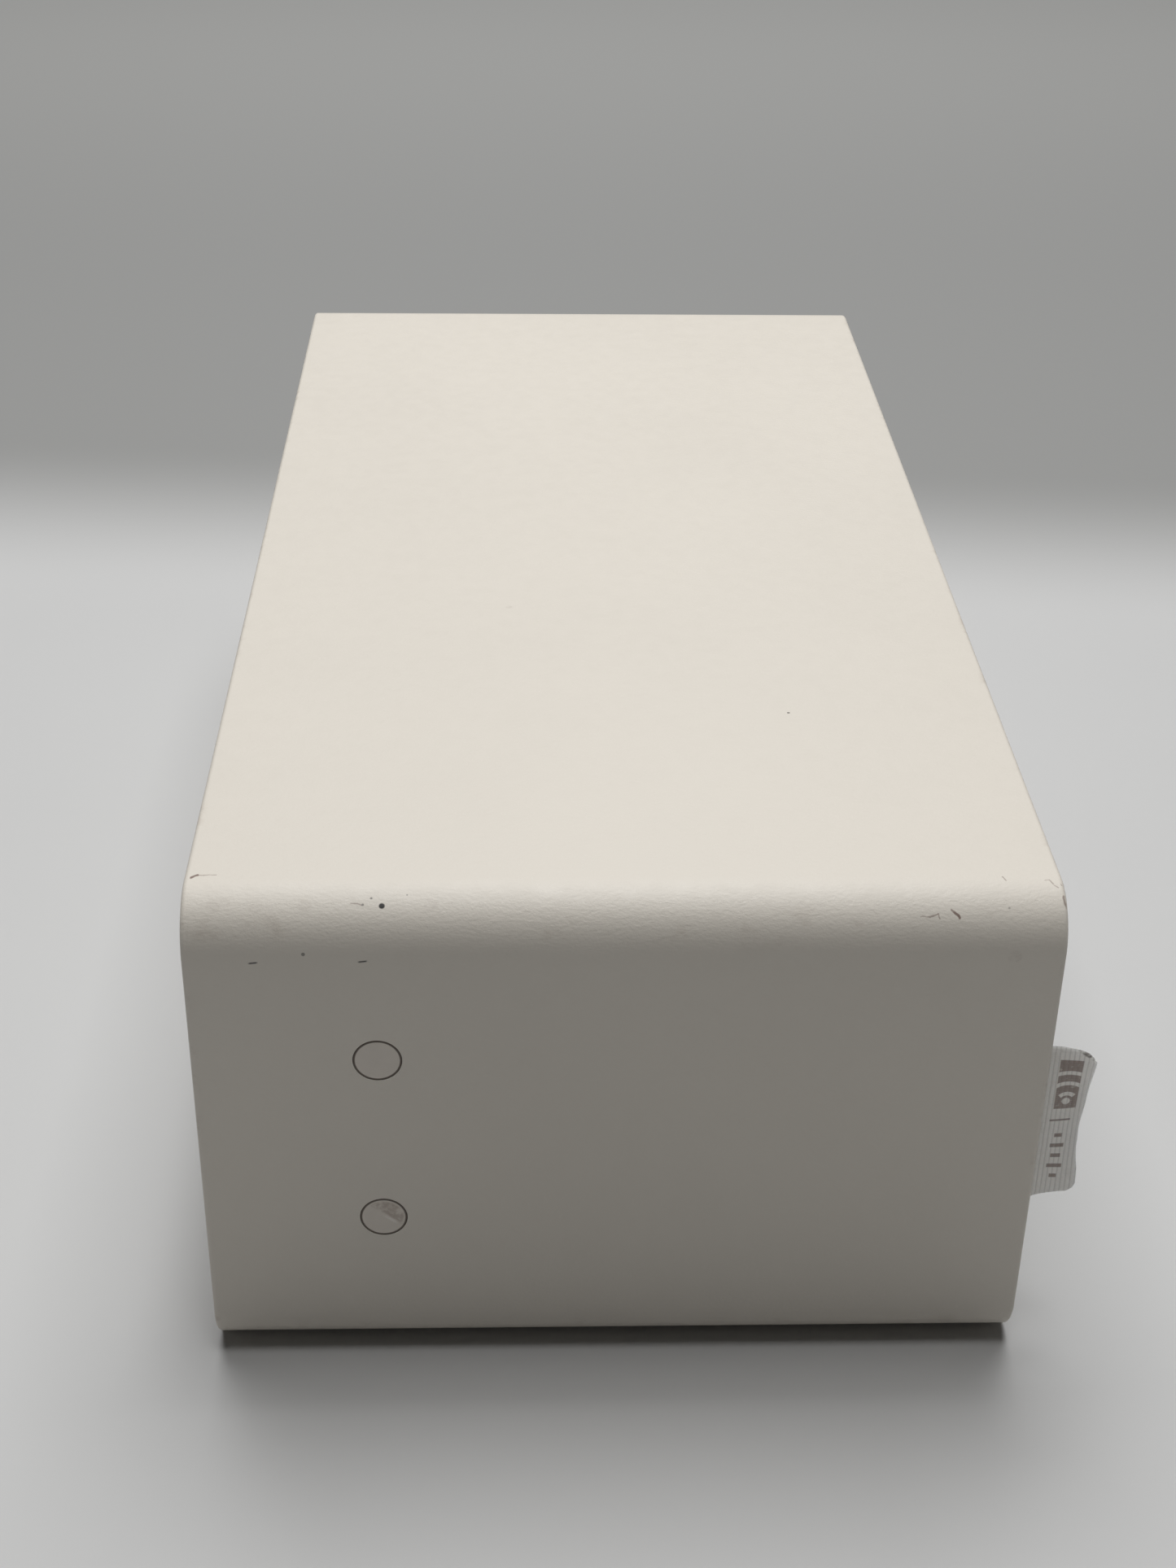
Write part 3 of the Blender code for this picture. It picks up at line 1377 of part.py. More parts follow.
def wiring():
    board_x = MAIN_BOARD_FRONT_X + GAP
    board_low_y = MAIN_BOARD_Y - MAIN_BOARD_LENGTH / 2
    inlet_side = BAY_Y + INLET_OFFSET - INLET_SIZE[0] / 2 - 1.5 * MM
    power_low_y = POWER_BOARD_Y - POWER_BOARD_LENGTH / 2
    inlet_x = BAY_FLOOR_X + 8 * MM
    wide = CABINET_HEIGHT / 2 - WALL
    tube_along(
        "mains_lead",
        [
            (inlet_x, inlet_side - GAP, MID_Z),
            (inlet_x, inlet_side - 8 * MM, MID_Z),
            (inlet_x + 4 * MM, board_low_y - 6 * MM, MID_Z),
            (0, board_low_y - 12 * MM, MID_Z),
            (POWER_BOARD_BACK_X - 14 * MM, power_low_y + 3 * MM, MID_Z - 4 * MM),
            (POWER_BOARD_BACK_X - 3 * GAP, power_low_y + 5 * MM, MID_Z - 4 * MM),
        ],
        LEAD_RADIUS * 1.2,
        "wire_jacket",
    )
    lead_x = DRIVER_FACE_X - 5 * MM
    basket_side = WOOFER_Y + WOOFER_HOLE_RADIUS + 1.2 * MM
    tube_along(
        "woofer_lead",
        [
            (board_x + 2 * GAP, board_low_y + 5 * MM, MID_Z - 20 * MM),
            (board_x + 12 * MM, board_low_y + 4 * MM, MID_Z - 20 * MM),
            (MM, board_low_y - 16 * MM, MID_Z - 22 * MM),
            (22 * MM, basket_side + 12 * MM, MID_Z - 14 * MM),
            (lead_x - 24 * MM, basket_side + 3 * MM, MID_Z - 4 * MM),
            (lead_x - 10 * MM, basket_side + MM, MID_Z),
        ],
        LEAD_RADIUS,
        "wire_jacket",
    )
    low_z = MID_Z - wide + LEAD_RADIUS + 13 * MM
    yoke_back = DRIVER_FACE_X - 22.4 * MM
    tube_along(
        "tweeter_lead",
        [
            (board_x + 2 * GAP, board_low_y + 14 * MM, MID_Z - 34 * MM),
            (board_x + 14 * MM, board_low_y + 11 * MM, MID_Z - 35 * MM),
            (10 * MM, board_low_y - 30 * MM, low_z + 2 * MM),
            (14 * MM, WOOFER_Y, low_z),
            (16 * MM, TWEETER_Y + 40 * MM, low_z + 2 * MM),
            (24 * MM, TWEETER_Y + 12 * MM, MID_Z - 24 * MM),
            (yoke_back - 8 * MM, TWEETER_Y, MID_Z - 8 * MM),
            (yoke_back - 2 * GAP, TWEETER_Y, MID_Z - 6 * MM),
        ],
        LEAD_RADIUS,
        "wire_jacket",
    )
    cable_y = BUTTON_Y + 3 * MM
    tube_along(
        "button_cable",
        [
            (BUTTON_BOARD_BACK_X - GAP, cable_y, MID_Z),
            (BAFFLE_BACK_X - 4 * MM, cable_y, MID_Z),
            (POWER_BOARD_BACK_X, cable_y + 0.5 * MM, MID_Z),
            (0, cable_y - 0.5 * MM, MID_Z),
            (board_x + 12 * MM, MAIN_BOARD_Y + MAIN_BOARD_LENGTH / 2 - 2 * MM, MID_Z),
            (board_x + 2 * GAP, MAIN_BOARD_Y + MAIN_BOARD_LENGTH / 2 - 4 * MM, MID_Z),
        ],
        LEAD_RADIUS * 0.8,
        "wire_jacket",
    )


def damping_pad():
    """Felt stuck inside the sleeve's upper wall, behind the woofer."""
    high_z = CABINET_HEIGHT - WALL - GAP
    box(
        "damping_pad",
        (-58 * MM, PLUG_END_Y + 80 * MM, high_z - 8 * MM),
        (10 * MM, WOOFER_Y + WOOFER_FLANGE_RADIUS, high_z),
        "foam",
        MM,
    )


cabinet_sleeve()
end_plugs_and_inserts()
rear_panel()
connection_bay()
mains_inlet()
ethernet_jack()
bass_port_tube()
front_baffle()
grille()
control_strip()
keypad_and_board()
woofer()
tweeter()
electronics()
wiring()
damping_pad()
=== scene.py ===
"""Shelf loudspeaker lying on its long side, with its fine surfaces, finishes, floor and light.

+X is the loudspeaker's front, +Y runs from its plug end to its control end, and +Z is up.
Shapes are worked out in millimetres, and become metres when their meshes are made.
"""

import json
import math
from functools import partialmethod, reduce

import bmesh
import bpy
import numpy as np
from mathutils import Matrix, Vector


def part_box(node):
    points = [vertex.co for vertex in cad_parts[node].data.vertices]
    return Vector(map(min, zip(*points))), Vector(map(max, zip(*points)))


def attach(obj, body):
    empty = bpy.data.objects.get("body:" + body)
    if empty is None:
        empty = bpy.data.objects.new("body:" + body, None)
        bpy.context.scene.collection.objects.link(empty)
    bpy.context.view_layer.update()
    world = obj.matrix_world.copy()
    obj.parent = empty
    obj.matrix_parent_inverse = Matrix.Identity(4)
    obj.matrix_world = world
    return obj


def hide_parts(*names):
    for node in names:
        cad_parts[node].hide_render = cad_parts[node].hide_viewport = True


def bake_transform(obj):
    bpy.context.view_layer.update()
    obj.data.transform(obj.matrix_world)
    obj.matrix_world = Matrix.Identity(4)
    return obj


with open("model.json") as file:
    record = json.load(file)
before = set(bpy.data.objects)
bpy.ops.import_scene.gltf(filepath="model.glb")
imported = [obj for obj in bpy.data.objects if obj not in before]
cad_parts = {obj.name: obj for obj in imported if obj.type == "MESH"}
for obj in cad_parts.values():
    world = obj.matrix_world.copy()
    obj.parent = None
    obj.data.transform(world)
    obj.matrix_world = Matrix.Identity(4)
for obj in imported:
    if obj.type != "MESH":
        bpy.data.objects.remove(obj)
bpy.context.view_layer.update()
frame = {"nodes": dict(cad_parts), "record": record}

MM = 0.001
HALF_TURN = math.pi
CABINET, GRILLE = "cabinet", "grille"


def node_box(node):
    """A node's lowest and highest corners at rest, in millimetres."""
    low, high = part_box(node)
    return np.array(low) / MM, np.array(high) / MM


def middle_of(node):
    """A node's middle in Y and Z at rest, in millimetres."""
    low, high = node_box(node)
    return ((low + high) / 2)[1:]


# ---------------------------------------------------------------- finishes
class Value:
    """One shader socket. Python's operators on it add Math nodes and give a new Value."""

    def __init__(self, finish, socket):
        self.finish = finish
        self.socket = socket

    def reckon(self, operation, *others):
        return self.finish.node("ShaderNodeMath", {"operation": operation}, [self, *others])

    def __rsub__(self, other):
        return self.finish.node("ShaderNodeMath", {"operation": "SUBTRACT"}, [other, self])

    __add__ = __radd__ = partialmethod(reckon, "ADD")
    __mul__ = __rmul__ = partialmethod(reckon, "MULTIPLY")
    __sub__ = partialmethod(reckon, "SUBTRACT")
    __truediv__ = partialmethod(reckon, "DIVIDE")
    __abs__ = partialmethod(reckon, "ABSOLUTE")
    sine = partialmethod(reckon, "SINE")
    root = partialmethod(reckon, "SQRT")
    least = partialmethod(reckon, "MINIMUM")
    most = partialmethod(reckon, "MAXIMUM")

    def ramp(self, low, high):
        """0 where the value is low, 1 where it is high, smooth between them."""
        settings = {"interpolation_type": "SMOOTHSTEP"}
        return self.finish.node("ShaderNodeMapRange", settings, [self, low, high])


class Finish:
    """A material round one Principled shader."""

    def __init__(self, name, colour, roughness=0.5, metallic=0.0, **constants):
        self.material = bpy.data.materials.new(name)
        self.material.use_nodes = True
        self.tree = self.material.node_tree
        self.shader = self.tree.nodes["Principled BSDF"]
        self.colour = colour
        self.shader.inputs["Base Color"].default_value = (*colour, 1)
        self.shader.inputs["Roughness"].default_value = roughness
        self.shader.inputs["Metallic"].default_value = metallic
        for socket, value in constants.items():
            self.shader.inputs[socket.replace("_", " ").title()].default_value = value
        self.normal = None

    def node(self, kind, settings=None, inputs=(), output=0):
        """A node of that kind. Settings are set first, then its sockets by order or by name."""
        made = self.tree.nodes.new(kind)
        for key, value in (settings or {}).items():
            setattr(made, key, value)
        pairs = inputs.items() if isinstance(inputs, dict) else enumerate(inputs)
        for key, value in pairs:
            if isinstance(value, Value):
                self.tree.links.new(value.socket, made.inputs[key])
            elif value is not None:
                made.inputs[key].default_value = value
        return Value(self, made.outputs[output])

    def place(self):
        return self.node("ShaderNodeTexCoord", output="Object")

    def axes(self, centre=(0, 0, 0)):
        """X, Y and Z of the point, in millimetres from centre."""
        place = self.place().socket
        split = self.tree.nodes.new("ShaderNodeSeparateXYZ")
        self.tree.links.new(place, split.inputs[0])
        found = [Value(self, output) / MM for output in split.outputs]
        return [axis - middle if middle else axis for axis, middle in zip(found, centre)]

    def noise(self, size, detail=2.0, roughness=0.5, stretch=None, seed=0.0):
        """Noise whose blobs are about size millimetres across, round 0.5."""
        place = self.place()
        if stretch:
            place = self.node("ShaderNodeMapping", None, {"Vector": place, "Scale": stretch})
        inputs = {
            "Vector": place,
            "W": seed,
            "Scale": 1 / (size * MM),
            "Detail": detail,
            "Roughness": roughness,
        }
        return self.node("ShaderNodeTexNoise", {"noise_dimensions": "4D"}, inputs)

    def mix(self, share, first, second):
        """The first colour where share is 0 and the second where it is 1."""
        colours = [(*c, 1) if isinstance(c, tuple) else c for c in (first, second)]
        inputs = {0: share, 6: colours[0], 7: colours[1]}
        return self.node("ShaderNodeMix", {"data_type": "RGBA"}, inputs, output=2)

    def paint(self, colour):
        self.tree.links.new(colour.socket, self.shader.inputs["Base Color"])

    def rough(self, value):
        self.tree.links.new(value.socket, self.shader.inputs["Roughness"])

    def bump(self, height, depth):
        """Raises the surface by height, which runs from 0 to 1, times depth in millimetres."""
        inputs = {"Height": height, "Strength": 1.0, "Distance": depth * MM}
        if self.normal:
            inputs["Normal"] = self.normal
        self.normal = self.node("ShaderNodeBump", None, inputs)
        self.tree.links.new(self.normal.socket, self.shader.inputs["Normal"])


def darker(colour, share):
    return tuple(channel * share for channel in colour)


def strongest(marks):
    """The greatest of the marks at each point."""
    return reduce(Value.most, marks)


def reach(x, y, z):
    """How long the step (x, y, z) is."""
    return (x * x + y * y + z * z).root()


def spot(axes, centre, radius):
    """1 inside a ball round centre, soft at its edge."""
    steps = [axis - middle for axis, middle in zip(axes, centre)]
    return reach(*steps).ramp(radius * 1.25, radius * 0.75)


def slab(axis, low, high, soft):
    """1 where the axis is between low and high, soft over that width at each limit."""
    rising = axis.ramp(low - soft, low + soft)
    return rising * axis.ramp(high + soft, high - soft)


def moulded(name, colour, roughness=0.55, grain=0.35, depth=0.02, **constants):
    """Moulded plastic: a fine spark-eroded grain, with faint handling marks in its gloss."""
    finish = Finish(name, colour, roughness, **constants)
    tone = finish.noise(45, 3)
    finish.paint(finish.mix(tone.ramp(0.3, 0.7), darker(colour, 0.93), colour))
    finish.rough(finish.noise(12, 4).ramp(0.2, 0.8) * 0.12 + (roughness - 0.06))
    finish.bump(finish.noise(grain, 2), depth)
    return finish.material


def metal(name, colour, roughness=0.35, brushed=(1, 1, 1), depth=0.006):
    """Bare metal with fine machining lines across the axes that brushed stretches."""
    finish = Finish(name, colour, roughness, metallic=1.0)
    lines = finish.noise(0.6, 4, 0.6, brushed)
    finish.rough(lines.ramp(0.25, 0.75) * 0.18 + (roughness - 0.08))
    tarnish = finish.noise(7, 3, seed=3)
    finish.paint(finish.mix(tarnish.ramp(0.35, 0.75), colour, darker(colour, 0.82)))
    finish.bump(lines, depth)
    return finish.material


def stroke(axes, start, end, radius):
    """1 along a straight line from start to end and soft at its edge: the distance from the
    point to the nearest place on the line, against the radius."""
    steps = [b - a for a, b in zip(start, end)]
    offsets = [axis - a for axis, a in zip(axes, start)]
    share = offsets[0] * steps[0] + offsets[1] * steps[1] + offsets[2] * steps[2]
    share = (share / sum(step * step for step in steps)).most(0).least(1)
    across = [offset - share * step for offset, step in zip(offsets, steps)]
    return reach(*across).ramp(radius * 1.4, radius * 0.6)


SHELL_COLOUR = (0.785, 0.735, 0.655)
MARK_COLOUR = (0.022, 0.020, 0.018)
SCUFF_COLOUR = (0.27, 0.20, 0.17)
PLUG_END, MID_Z = -155.0, 50.0
# place, radius, strength
DOTS = [
    ((-41.2, -150.7, 98.1), 0.5, 1.0),
    ((-44.4, -150.5, 98.2), 0.22, 0.6),
    ((-43.0, -149.5, 98.9), 0.22, 0.6),
    ((-54.4, -154.9, 91.2), 0.32, 0.6),
    ((34, -87, 100), 0.3, 0.7),
    ((-37.0, -148.9, 99.1), 0.15, 0.5),
    ((64.9, -151.4, 97.7), 0.22, 0.4),
    ((-4.0, -149.0, 99.3), 0.15, 0.3),
]
# start, end, radius, strength
SCRATCHES = [
    ((49.7, -152.4, 96.6), (51.3, -152.4, 96.6), 0.13, 0.55),
    ((51.3, -152.4, 96.6), (52.6, -152.0, 97.0), 0.15, 0.7),
    ((52.6, -152.0, 97.0), (53.0, -152.6, 96.4), 0.13, 0.6),
    ((55.1, -151.6, 97.4), (55.6, -151.9, 97.1), 0.20, 0.8),
    ((55.6, -151.9, 97.1), (56.3, -152.5, 96.5), 0.22, 1.0),
    ((64.7, -145.2, 100), (65.2, -146.3, 99.9), 0.13, 0.6),
    ((71.3, -146.4, 99.8), (72.6, -146.2, 99.9), 0.12, 0.5),
    ((72.6, -146.2, 99.9), (73.1, -147.1, 99.7), 0.13, 0.6),
    ((73.2, -147.5, 99.6), (73.8, -147.9, 99.5), 0.13, 0.5),
    ((74.0, -146.4, 99.8), (74.4, -147.3, 99.6), 0.14, 0.6),
    ((74.3, -149.6, 98.8), (74.8, -151.6, 97.5), 0.26, 0.7),
    ((-73.7, -144.7, 100), (-72.7, -143.9, 100), 0.24, 1.0),
    ((-72.7, -143.9, 100), (-69.6, -143.8, 100), 0.14, 0.5),
    ((-47.0, -150.2, 98.5), (-44.6, -150.5, 98.2), 0.13, 0.6),
]
SMUDGES = [(66.0, 90.1), (-69.5, 98.2), (-62.4, 97.9), (-54.2, 98.3), (-33.0, 98.3), (-67.6, 99.0)]


def shell_finish():
    """The wrapped white cabinet: a leathery grain, painted shade on its edges, and the marks of use."""
    finish = Finish("cream_white_wrap", SHELL_COLOUR, 0.5)
    axes = finish.axes()
    x, y, z = axes
    tone = finish.noise(60, 3, seed=1).ramp(0.25, 0.75)
    colour = finish.mix(tone, darker(SHELL_COLOUR, 0.975), SHELL_COLOUR)

    # patchy painted shade along the rims and the bent edges, where the wall turns from the light
    rim = abs(x).ramp(73.2, 74.9)
    bend = abs(y).ramp(150, 154) * abs(z - MID_Z).ramp(40, 46)
    shade_patches = finish.noise(6, 5, 0.7, seed=2).ramp(0.52, 0.7)
    colour = finish.mix((rim * 0.5 + bend * 0.3) * shade_patches, colour, (0.50, 0.43, 0.36))

    # faint smudges, then hair-line scratches that wander a little, then dark dots
    smudge = spot(axes, (-20, -40.8, 100), 0.7)
    for mark_x, mark_z in SMUDGES:
        mark_y = PLUG_END if mark_z < 95 else -150.6
        smudge = smudge + spot(axes, (mark_x, mark_y, mark_z), 1.2)
    blotchy = finish.noise(0.9, 4, 0.7, seed=14).ramp(0.35, 0.65)
    colour = finish.mix(smudge * blotchy * 0.13, colour, SCUFF_COLOUR)
    wander = [axis + (finish.noise(1.6, 3, seed=20 + i) - 0.5) * 0.9 for i, axis in enumerate(axes)]
    scratched = strongest(stroke(wander, *line) * strength for *line, strength in SCRATCHES)
    colour = finish.mix(scratched, colour, SCUFF_COLOUR)
    dark = strongest(spot(axes, *dot) * strength for *dot, strength in DOTS)
    near_face = (y - PLUG_END).ramp(3, 1)
    for low_x, high_x, mark_z in ((-63.6, -62.2, 89.5), (-45.2, -43.8, 89.7)):
        tilted = z + (x - low_x) * -0.12
        dash = slab(x, low_x, high_x, 0.25) * slab(tilted, mark_z - 0.2, mark_z + 0.1, 0.12)
        dark = dark.most(dash * near_face * 0.9)
    finish.paint(finish.mix(dark, colour, MARK_COLOUR))

    wrinkles = finish.noise(0.85, 3, 0.6, (0.75, 1.4, 1.4), seed=7)
    finish.rough(finish.noise(3, 4, seed=8).ramp(0.2, 0.8) * 0.1 + 0.48)
    finish.bump(wrinkles, 0.075)
    finish.bump(finish.noise(0.4, 2, seed=9), 0.022)
    return finish.material


def plug_finish(name, centre, smudged):
    """Soft translucent silicone, with grime and painted shade in the ring where it meets the cabinet."""
    colour = (0.775, 0.715, 0.640)
    finish = Finish(name, colour, 0.55)
    x, y, z = finish.axes(centre)
    radius = (x * x + z * z).root()
    near_face = (y - 2).ramp(0, -1)
    cloud = finish.noise(2.4, 3, seed=4 + smudged)
    tint = finish.mix(cloud.ramp(0.3, 0.7), darker(colour, 0.97), colour)
    if smudged:
        # a darker, broken-up wedge at the upper right, with a bright band along its edge
        wedge = (x * 0.62 + z * 0.78).ramp(0.3, 1.1) * radius.ramp(3.9, 3.3)
        broken = finish.noise(1.5, 4, 0.7, seed=12).ramp(0.35, 0.6)
        tint = finish.mix(wedge * broken * 0.8, tint, (0.50, 0.42, 0.36))
        bright_band = slab(x * 0.62 + z * 0.78, 0.1, 0.7, 0.2) * slab(x * 0.78 - z * 0.62, -0.5, 2.6, 0.5)
        tint = finish.mix(bright_band * broken * 0.55, tint, (0.95, 0.91, 0.86))
    # a near-black ring at the head's edge: grime in the gap, and painted shade of the gap
    ring = radius.ramp(3.80, 3.98) * near_face
    tint = finish.mix(ring * 0.92, tint, (0.115, 0.085, 0.065))
    finish.paint(tint)
    finish.bump(finish.noise(0.8, 2, seed=6), 0.02)
    return finish.material


def cloth_finish():
    """Plain-weave cloth of flecked yarn. Warp and weft cross over and under each other."""
    light, fleck = (0.70, 0.68, 0.645), (0.45, 0.435, 0.41)
    finish = Finish("flecked_cloth", light, 0.9, sheen_weight=0.25)
    pitch = 1.0
    x, y, z = finish.axes()
    across = (z + x) * (HALF_TURN / pitch)
    along = (y + x * 0.5) * (HALF_TURN / pitch)
    wobble = finish.noise(5, 2, seed=2) * 0.9
    warp, weft = (across + wobble).sine(), (along + wobble).sine()
    over = (warp * weft).ramp(-0.12, 0.12)
    warp_top, weft_top = abs(warp), abs(weft)
    height = over * warp_top + (1 - over) * weft_top
    yarn = finish.noise(3.2, 3, 0.65, (1, 0.28, 1), seed=5)
    other_yarn = finish.noise(3.2, 3, 0.65, (1, 1, 0.28), seed=6)
    flecks = over * yarn + (1 - over) * other_yarn
    colour = finish.mix(flecks.ramp(0.42, 0.60), fleck, light)
    # darker in the gaps between the yarns: painted shade
    shaded_gaps = (warp_top * weft_top).ramp(0.0, 0.35)
    finish.paint(finish.mix(shaded_gaps, darker(fleck, 0.55), colour))
    finish.bump(height, 0.30)
    finish.bump(finish.noise(0.16, 2, seed=8), 0.05)
    return finish.material


def ribbon_finish(middle_z):
    """Ribbed ribbon with a printed device: sound arcs in a block, a divider, and dashes."""
    base, device_x, dash_x = (0.90, 0.865, 0.805), 79.65, 79.2
    translucent = {"subsurface_weight": 0.8, "subsurface_scale": MM, "subsurface_radius": (2, 2, 2)}
    finish = Finish("ribbed_ribbon", base, 0.85, sheen_weight=0.2, **translucent)
    x, y, z = finish.axes((0, 0, middle_z))
    rib = abs((x * (HALF_TURN / 0.85)).sine())
    weave = abs((z * (HALF_TURN / 0.45)).sine())
    # darker in the grooves between the ribs: painted shade
    cloth = finish.mix(rib.ramp(0.0, 0.7), darker(base, 0.80), base)
    cloth = finish.mix(finish.noise(2.5, 3).ramp(0.35, 0.7) * 0.35, cloth, darker(base, 0.86))

    block = slab(x, 77.6, 81.7, 0.12) * slab(z, 2.9, 14.0, 0.12)
    from_source = ((x - device_x) * (x - device_x) + (z - 4.6) * (z - 4.6)).root()
    arcs = strongest(slab(from_source, radius - 0.42, radius + 0.42, 0.1) for radius in (1.7, 4.1, 6.5))
    wedge = (z - 4.2 - abs(x - device_x) * 1.05).ramp(0, 0.3)
    arcs = (arcs * wedge).most(from_source.ramp(0.85, 0.65))
    divider = slab(x, 77.2, 81.0, 0.1) * slab(z, 0.1, 0.5, 0.1)
    dashes = []
    for index, size in enumerate((1.2, 2.1, 1.5, 2.3, 1.1)):
        half, dash_z = size * 0.6, -3.2 - index * 2.3
        dash = slab(x, dash_x - half, dash_x + half, 0.12)
        dashes.append(dash * slab(z, dash_z - 0.42, dash_z + 0.42, 0.1))
    ink = strongest([block * (1 - arcs), divider, *dashes])
    worn = 1 - finish.noise(0.7, 3, seed=2).ramp(0.55, 0.75) * 0.35
    colour = finish.mix(ink * worn * 0.85, cloth, (0.265, 0.212, 0.190))
    soiled = slab(x - (15.6 - z) * 0.6, 80.6, 83.2, 0.5) * slab(z + (x - 81.5) * 0.6, 15.4, 16.4, 0.25)
    soiled = soiled * finish.noise(0.7, 3, seed=9).ramp(0.35, 0.6)
    finish.paint(finish.mix(soiled * 0.8, colour, (0.10, 0.085, 0.075)))
    finish.bump(rib, 0.16)
    finish.bump(weave, 0.05)
    return finish.material


def button_finish(name, symbol, centre):
    """Satin button cap printed with a plain symbol: play and pause, plus, or minus."""
    finish = Finish(name, (0.79, 0.745, 0.675), 0.42)
    x, y, z = finish.axes(centre)
    soft = 0.06
    flat_bar, tall_bar = (
        slab(long, -2.1, 2.1, soft) * slab(short, -0.3, 0.3, soft) for long, short in ((y, z), (z, y))
    )
    if symbol == "play":
        play = slab(y, -3.0, 0.2, soft) * (y * -0.56 + 0.14 - abs(z)).ramp(-soft, soft)
        pause = slab(z, -1.6, 1.6, soft) * slab(abs(y - 1.9), 0.32, 0.95, soft)
        ink = play.most(pause)
    else:
        ink = flat_bar if symbol == "minus" else flat_bar.most(tall_bar)
    ink = ink * x.ramp(0.1, 0.2)
    colour = finish.mix(finish.noise(20, 2), (0.775, 0.73, 0.66), (0.80, 0.755, 0.685))
    finish.paint(finish.mix(ink, colour, (0.16, 0.155, 0.15)))
    finish.rough(finish.noise(4, 3).ramp(0.2, 0.8) * 0.1 + 0.36)
    finish.bump(finish.noise(0.3, 2), 0.008)
    return finish.material


def pulp_finish():
    """Pressed pulp cone: short pale fibres in a black matt felt."""
    finish = Finish("pressed_pulp", (0.018, 0.018, 0.019), 0.85)
    fibres = finish.noise(0.7, 5, 0.75, (1, 2.4, 0.6), seed=1).ramp(0.60, 0.72)
    finish.paint(finish.mix(fibres * 0.55, (0.016, 0.016, 0.017), (0.085, 0.080, 0.074)))
    finish.bump(finish.noise(0.8, 5, 0.7, seed=2), 0.10)
    return finish.material


def rubber_finish(name, colour=(0.014, 0.014, 0.015), roughness=0.5):
    """Moulded rubber: near black, with a faint bloom and a very fine grain."""
    finish = Finish(name, colour, roughness)
    bloom = finish.noise(9, 4, 0.6).ramp(0.45, 0.75)
    finish.paint(finish.mix(bloom * 0.5, colour, tuple(c + 0.02 for c in colour)))
    finish.rough(bloom * 0.15 + (roughness - 0.05))
    finish.bump(finish.noise(0.45, 3), 0.015)
    return finish.material


def silk_finish(centre):
    """Doped silk dome: a fine square weave under a soft sheen."""
    finish = Finish("doped_silk", (0.02, 0.02, 0.022), 0.42, sheen_weight=0.3)
    x, y, z = finish.axes(centre)
    weave = abs((y * (HALF_TURN / 0.4)).sine()) * abs((z * (HALF_TURN / 0.4)).sine())
    # darker in the hollows of the weave: painted shade
    finish.paint(finish.mix(weave, (0.010, 0.010, 0.011), (0.034, 0.034, 0.037)))
    finish.bump(weave, 0.04)
    return finish.material


def foam_finish(name, colour):
    """Open-cell foam or felt: irregular cells, darker inside them as painted shade."""
    finish = Finish(name, colour, 0.95)
    cells = finish.node(
        "ShaderNodeTexVoronoi", None, {"Vector": finish.place(), "Scale": 1 / (0.9 * MM)}
    )
    # darker in the cells' hollows: painted shade
    finish.paint(finish.mix(cells.ramp(0.1, 0.7), colour, darker(colour, 0.4)))
    finish.bump(1 - cells, 0.2)
    return finish.material


def board_finish():
    """Circuit board: solder resist over faint copper tracks, with rows of bright pads."""
    resist, copper, solder = (0.012, 0.095, 0.045), (0.03, 0.16, 0.07), (0.60, 0.60, 0.58)
    finish = Finish("solder_resist", resist, 0.35)
    x, y, z = finish.axes()
    bends = finish.noise(14, 0, seed=3) * 10
    tracks = abs(((y + bends) * (HALF_TURN / 2.2)).sine()).ramp(0.55, 0.75)
    shown = finish.noise(16, 1, seed=5).ramp(0.48, 0.52)
    colour = finish.mix(tracks * shown, resist, copper)
    pads = abs((y * (HALF_TURN / 2.54)).sine()) * abs((z * (HALF_TURN / 2.54)).sine())
    pads = pads.ramp(0.86, 0.92) * finish.noise(20, 1, seed=9).ramp(0.56, 0.6)
    finish.paint(finish.mix(pads, colour, solder))
    finish.bump(tracks * shown, 0.03)
    return finish.material


def striped(name, first, second, pitch, axis, roughness, metallic=0.0):
    """Close turns of wire or wound tape: rounded ridges across one axis."""
    finish = Finish(name, first, roughness, metallic)
    ridge = abs((finish.axes()[axis] * (HALF_TURN / pitch)).sine())
    # darker between the turns: painted shade
    finish.paint(finish.mix(ridge.ramp(0.1, 0.8), second, first))
    finish.bump(ridge, pitch * 0.3)
    return finish.material


def glass_finish():
    """Milky moulded light guide, lightly frosted."""
    finish = Finish("clear_guide", (0.86, 0.88, 0.88), 0.22, transmission_weight=0.15)
    frost = finish.noise(0.6, 3)
    finish.rough(frost * 0.2 + 0.15)
    finish.bump(frost, 0.01)
    return finish.material


# ---------------------------------------------------------------- surfaces
def add_piece(name, mesh, finish, body, *nodes, smooth=35):
    """A finished piece at the origin that rides on body and stands for those nodes."""
    obj = bpy.data.objects.new(name, mesh)
    bpy.context.scene.collection.objects.link(obj)
    if finish:
        mesh.materials.append(finish)
    mesh.shade_smooth()
    mesh.set_sharp_from_angle(angle=math.radians(smooth))
    if body:
        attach(obj, body)
    if nodes:
        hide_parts(*nodes)
    return obj


def skin(name, rings, closed=True):
    """A mesh of the quads between neighbouring rings of points, each ring closed on itself.
    The last ring joins the first if closed. Otherwise both end rings are points or folds."""
    rings = np.asarray(rings, float) * MM
    count, size = rings.shape[:2]
    index = np.arange(count * size).reshape(count, size)
    here = index if closed else index[:-1]
    there = np.roll(index, -1, axis=0) if closed else index[1:]
    quads = [here, np.roll(here, -1, axis=1), np.roll(there, -1, axis=1), there]
    faces = np.stack(quads, axis=-1).reshape(-1, 4)
    mesh = bpy.data.meshes.new(name)
    mesh.from_pydata(rings.reshape(-1, 3).tolist(), [], faces.tolist())
    shape = bmesh.new()
    shape.from_mesh(mesh)
    bmesh.ops.remove_doubles(shape, verts=shape.verts, dist=0.002 * MM)
    bmesh.ops.recalc_face_normals(shape, faces=shape.faces)
    shape.to_mesh(mesh)
    shape.free()
    return mesh


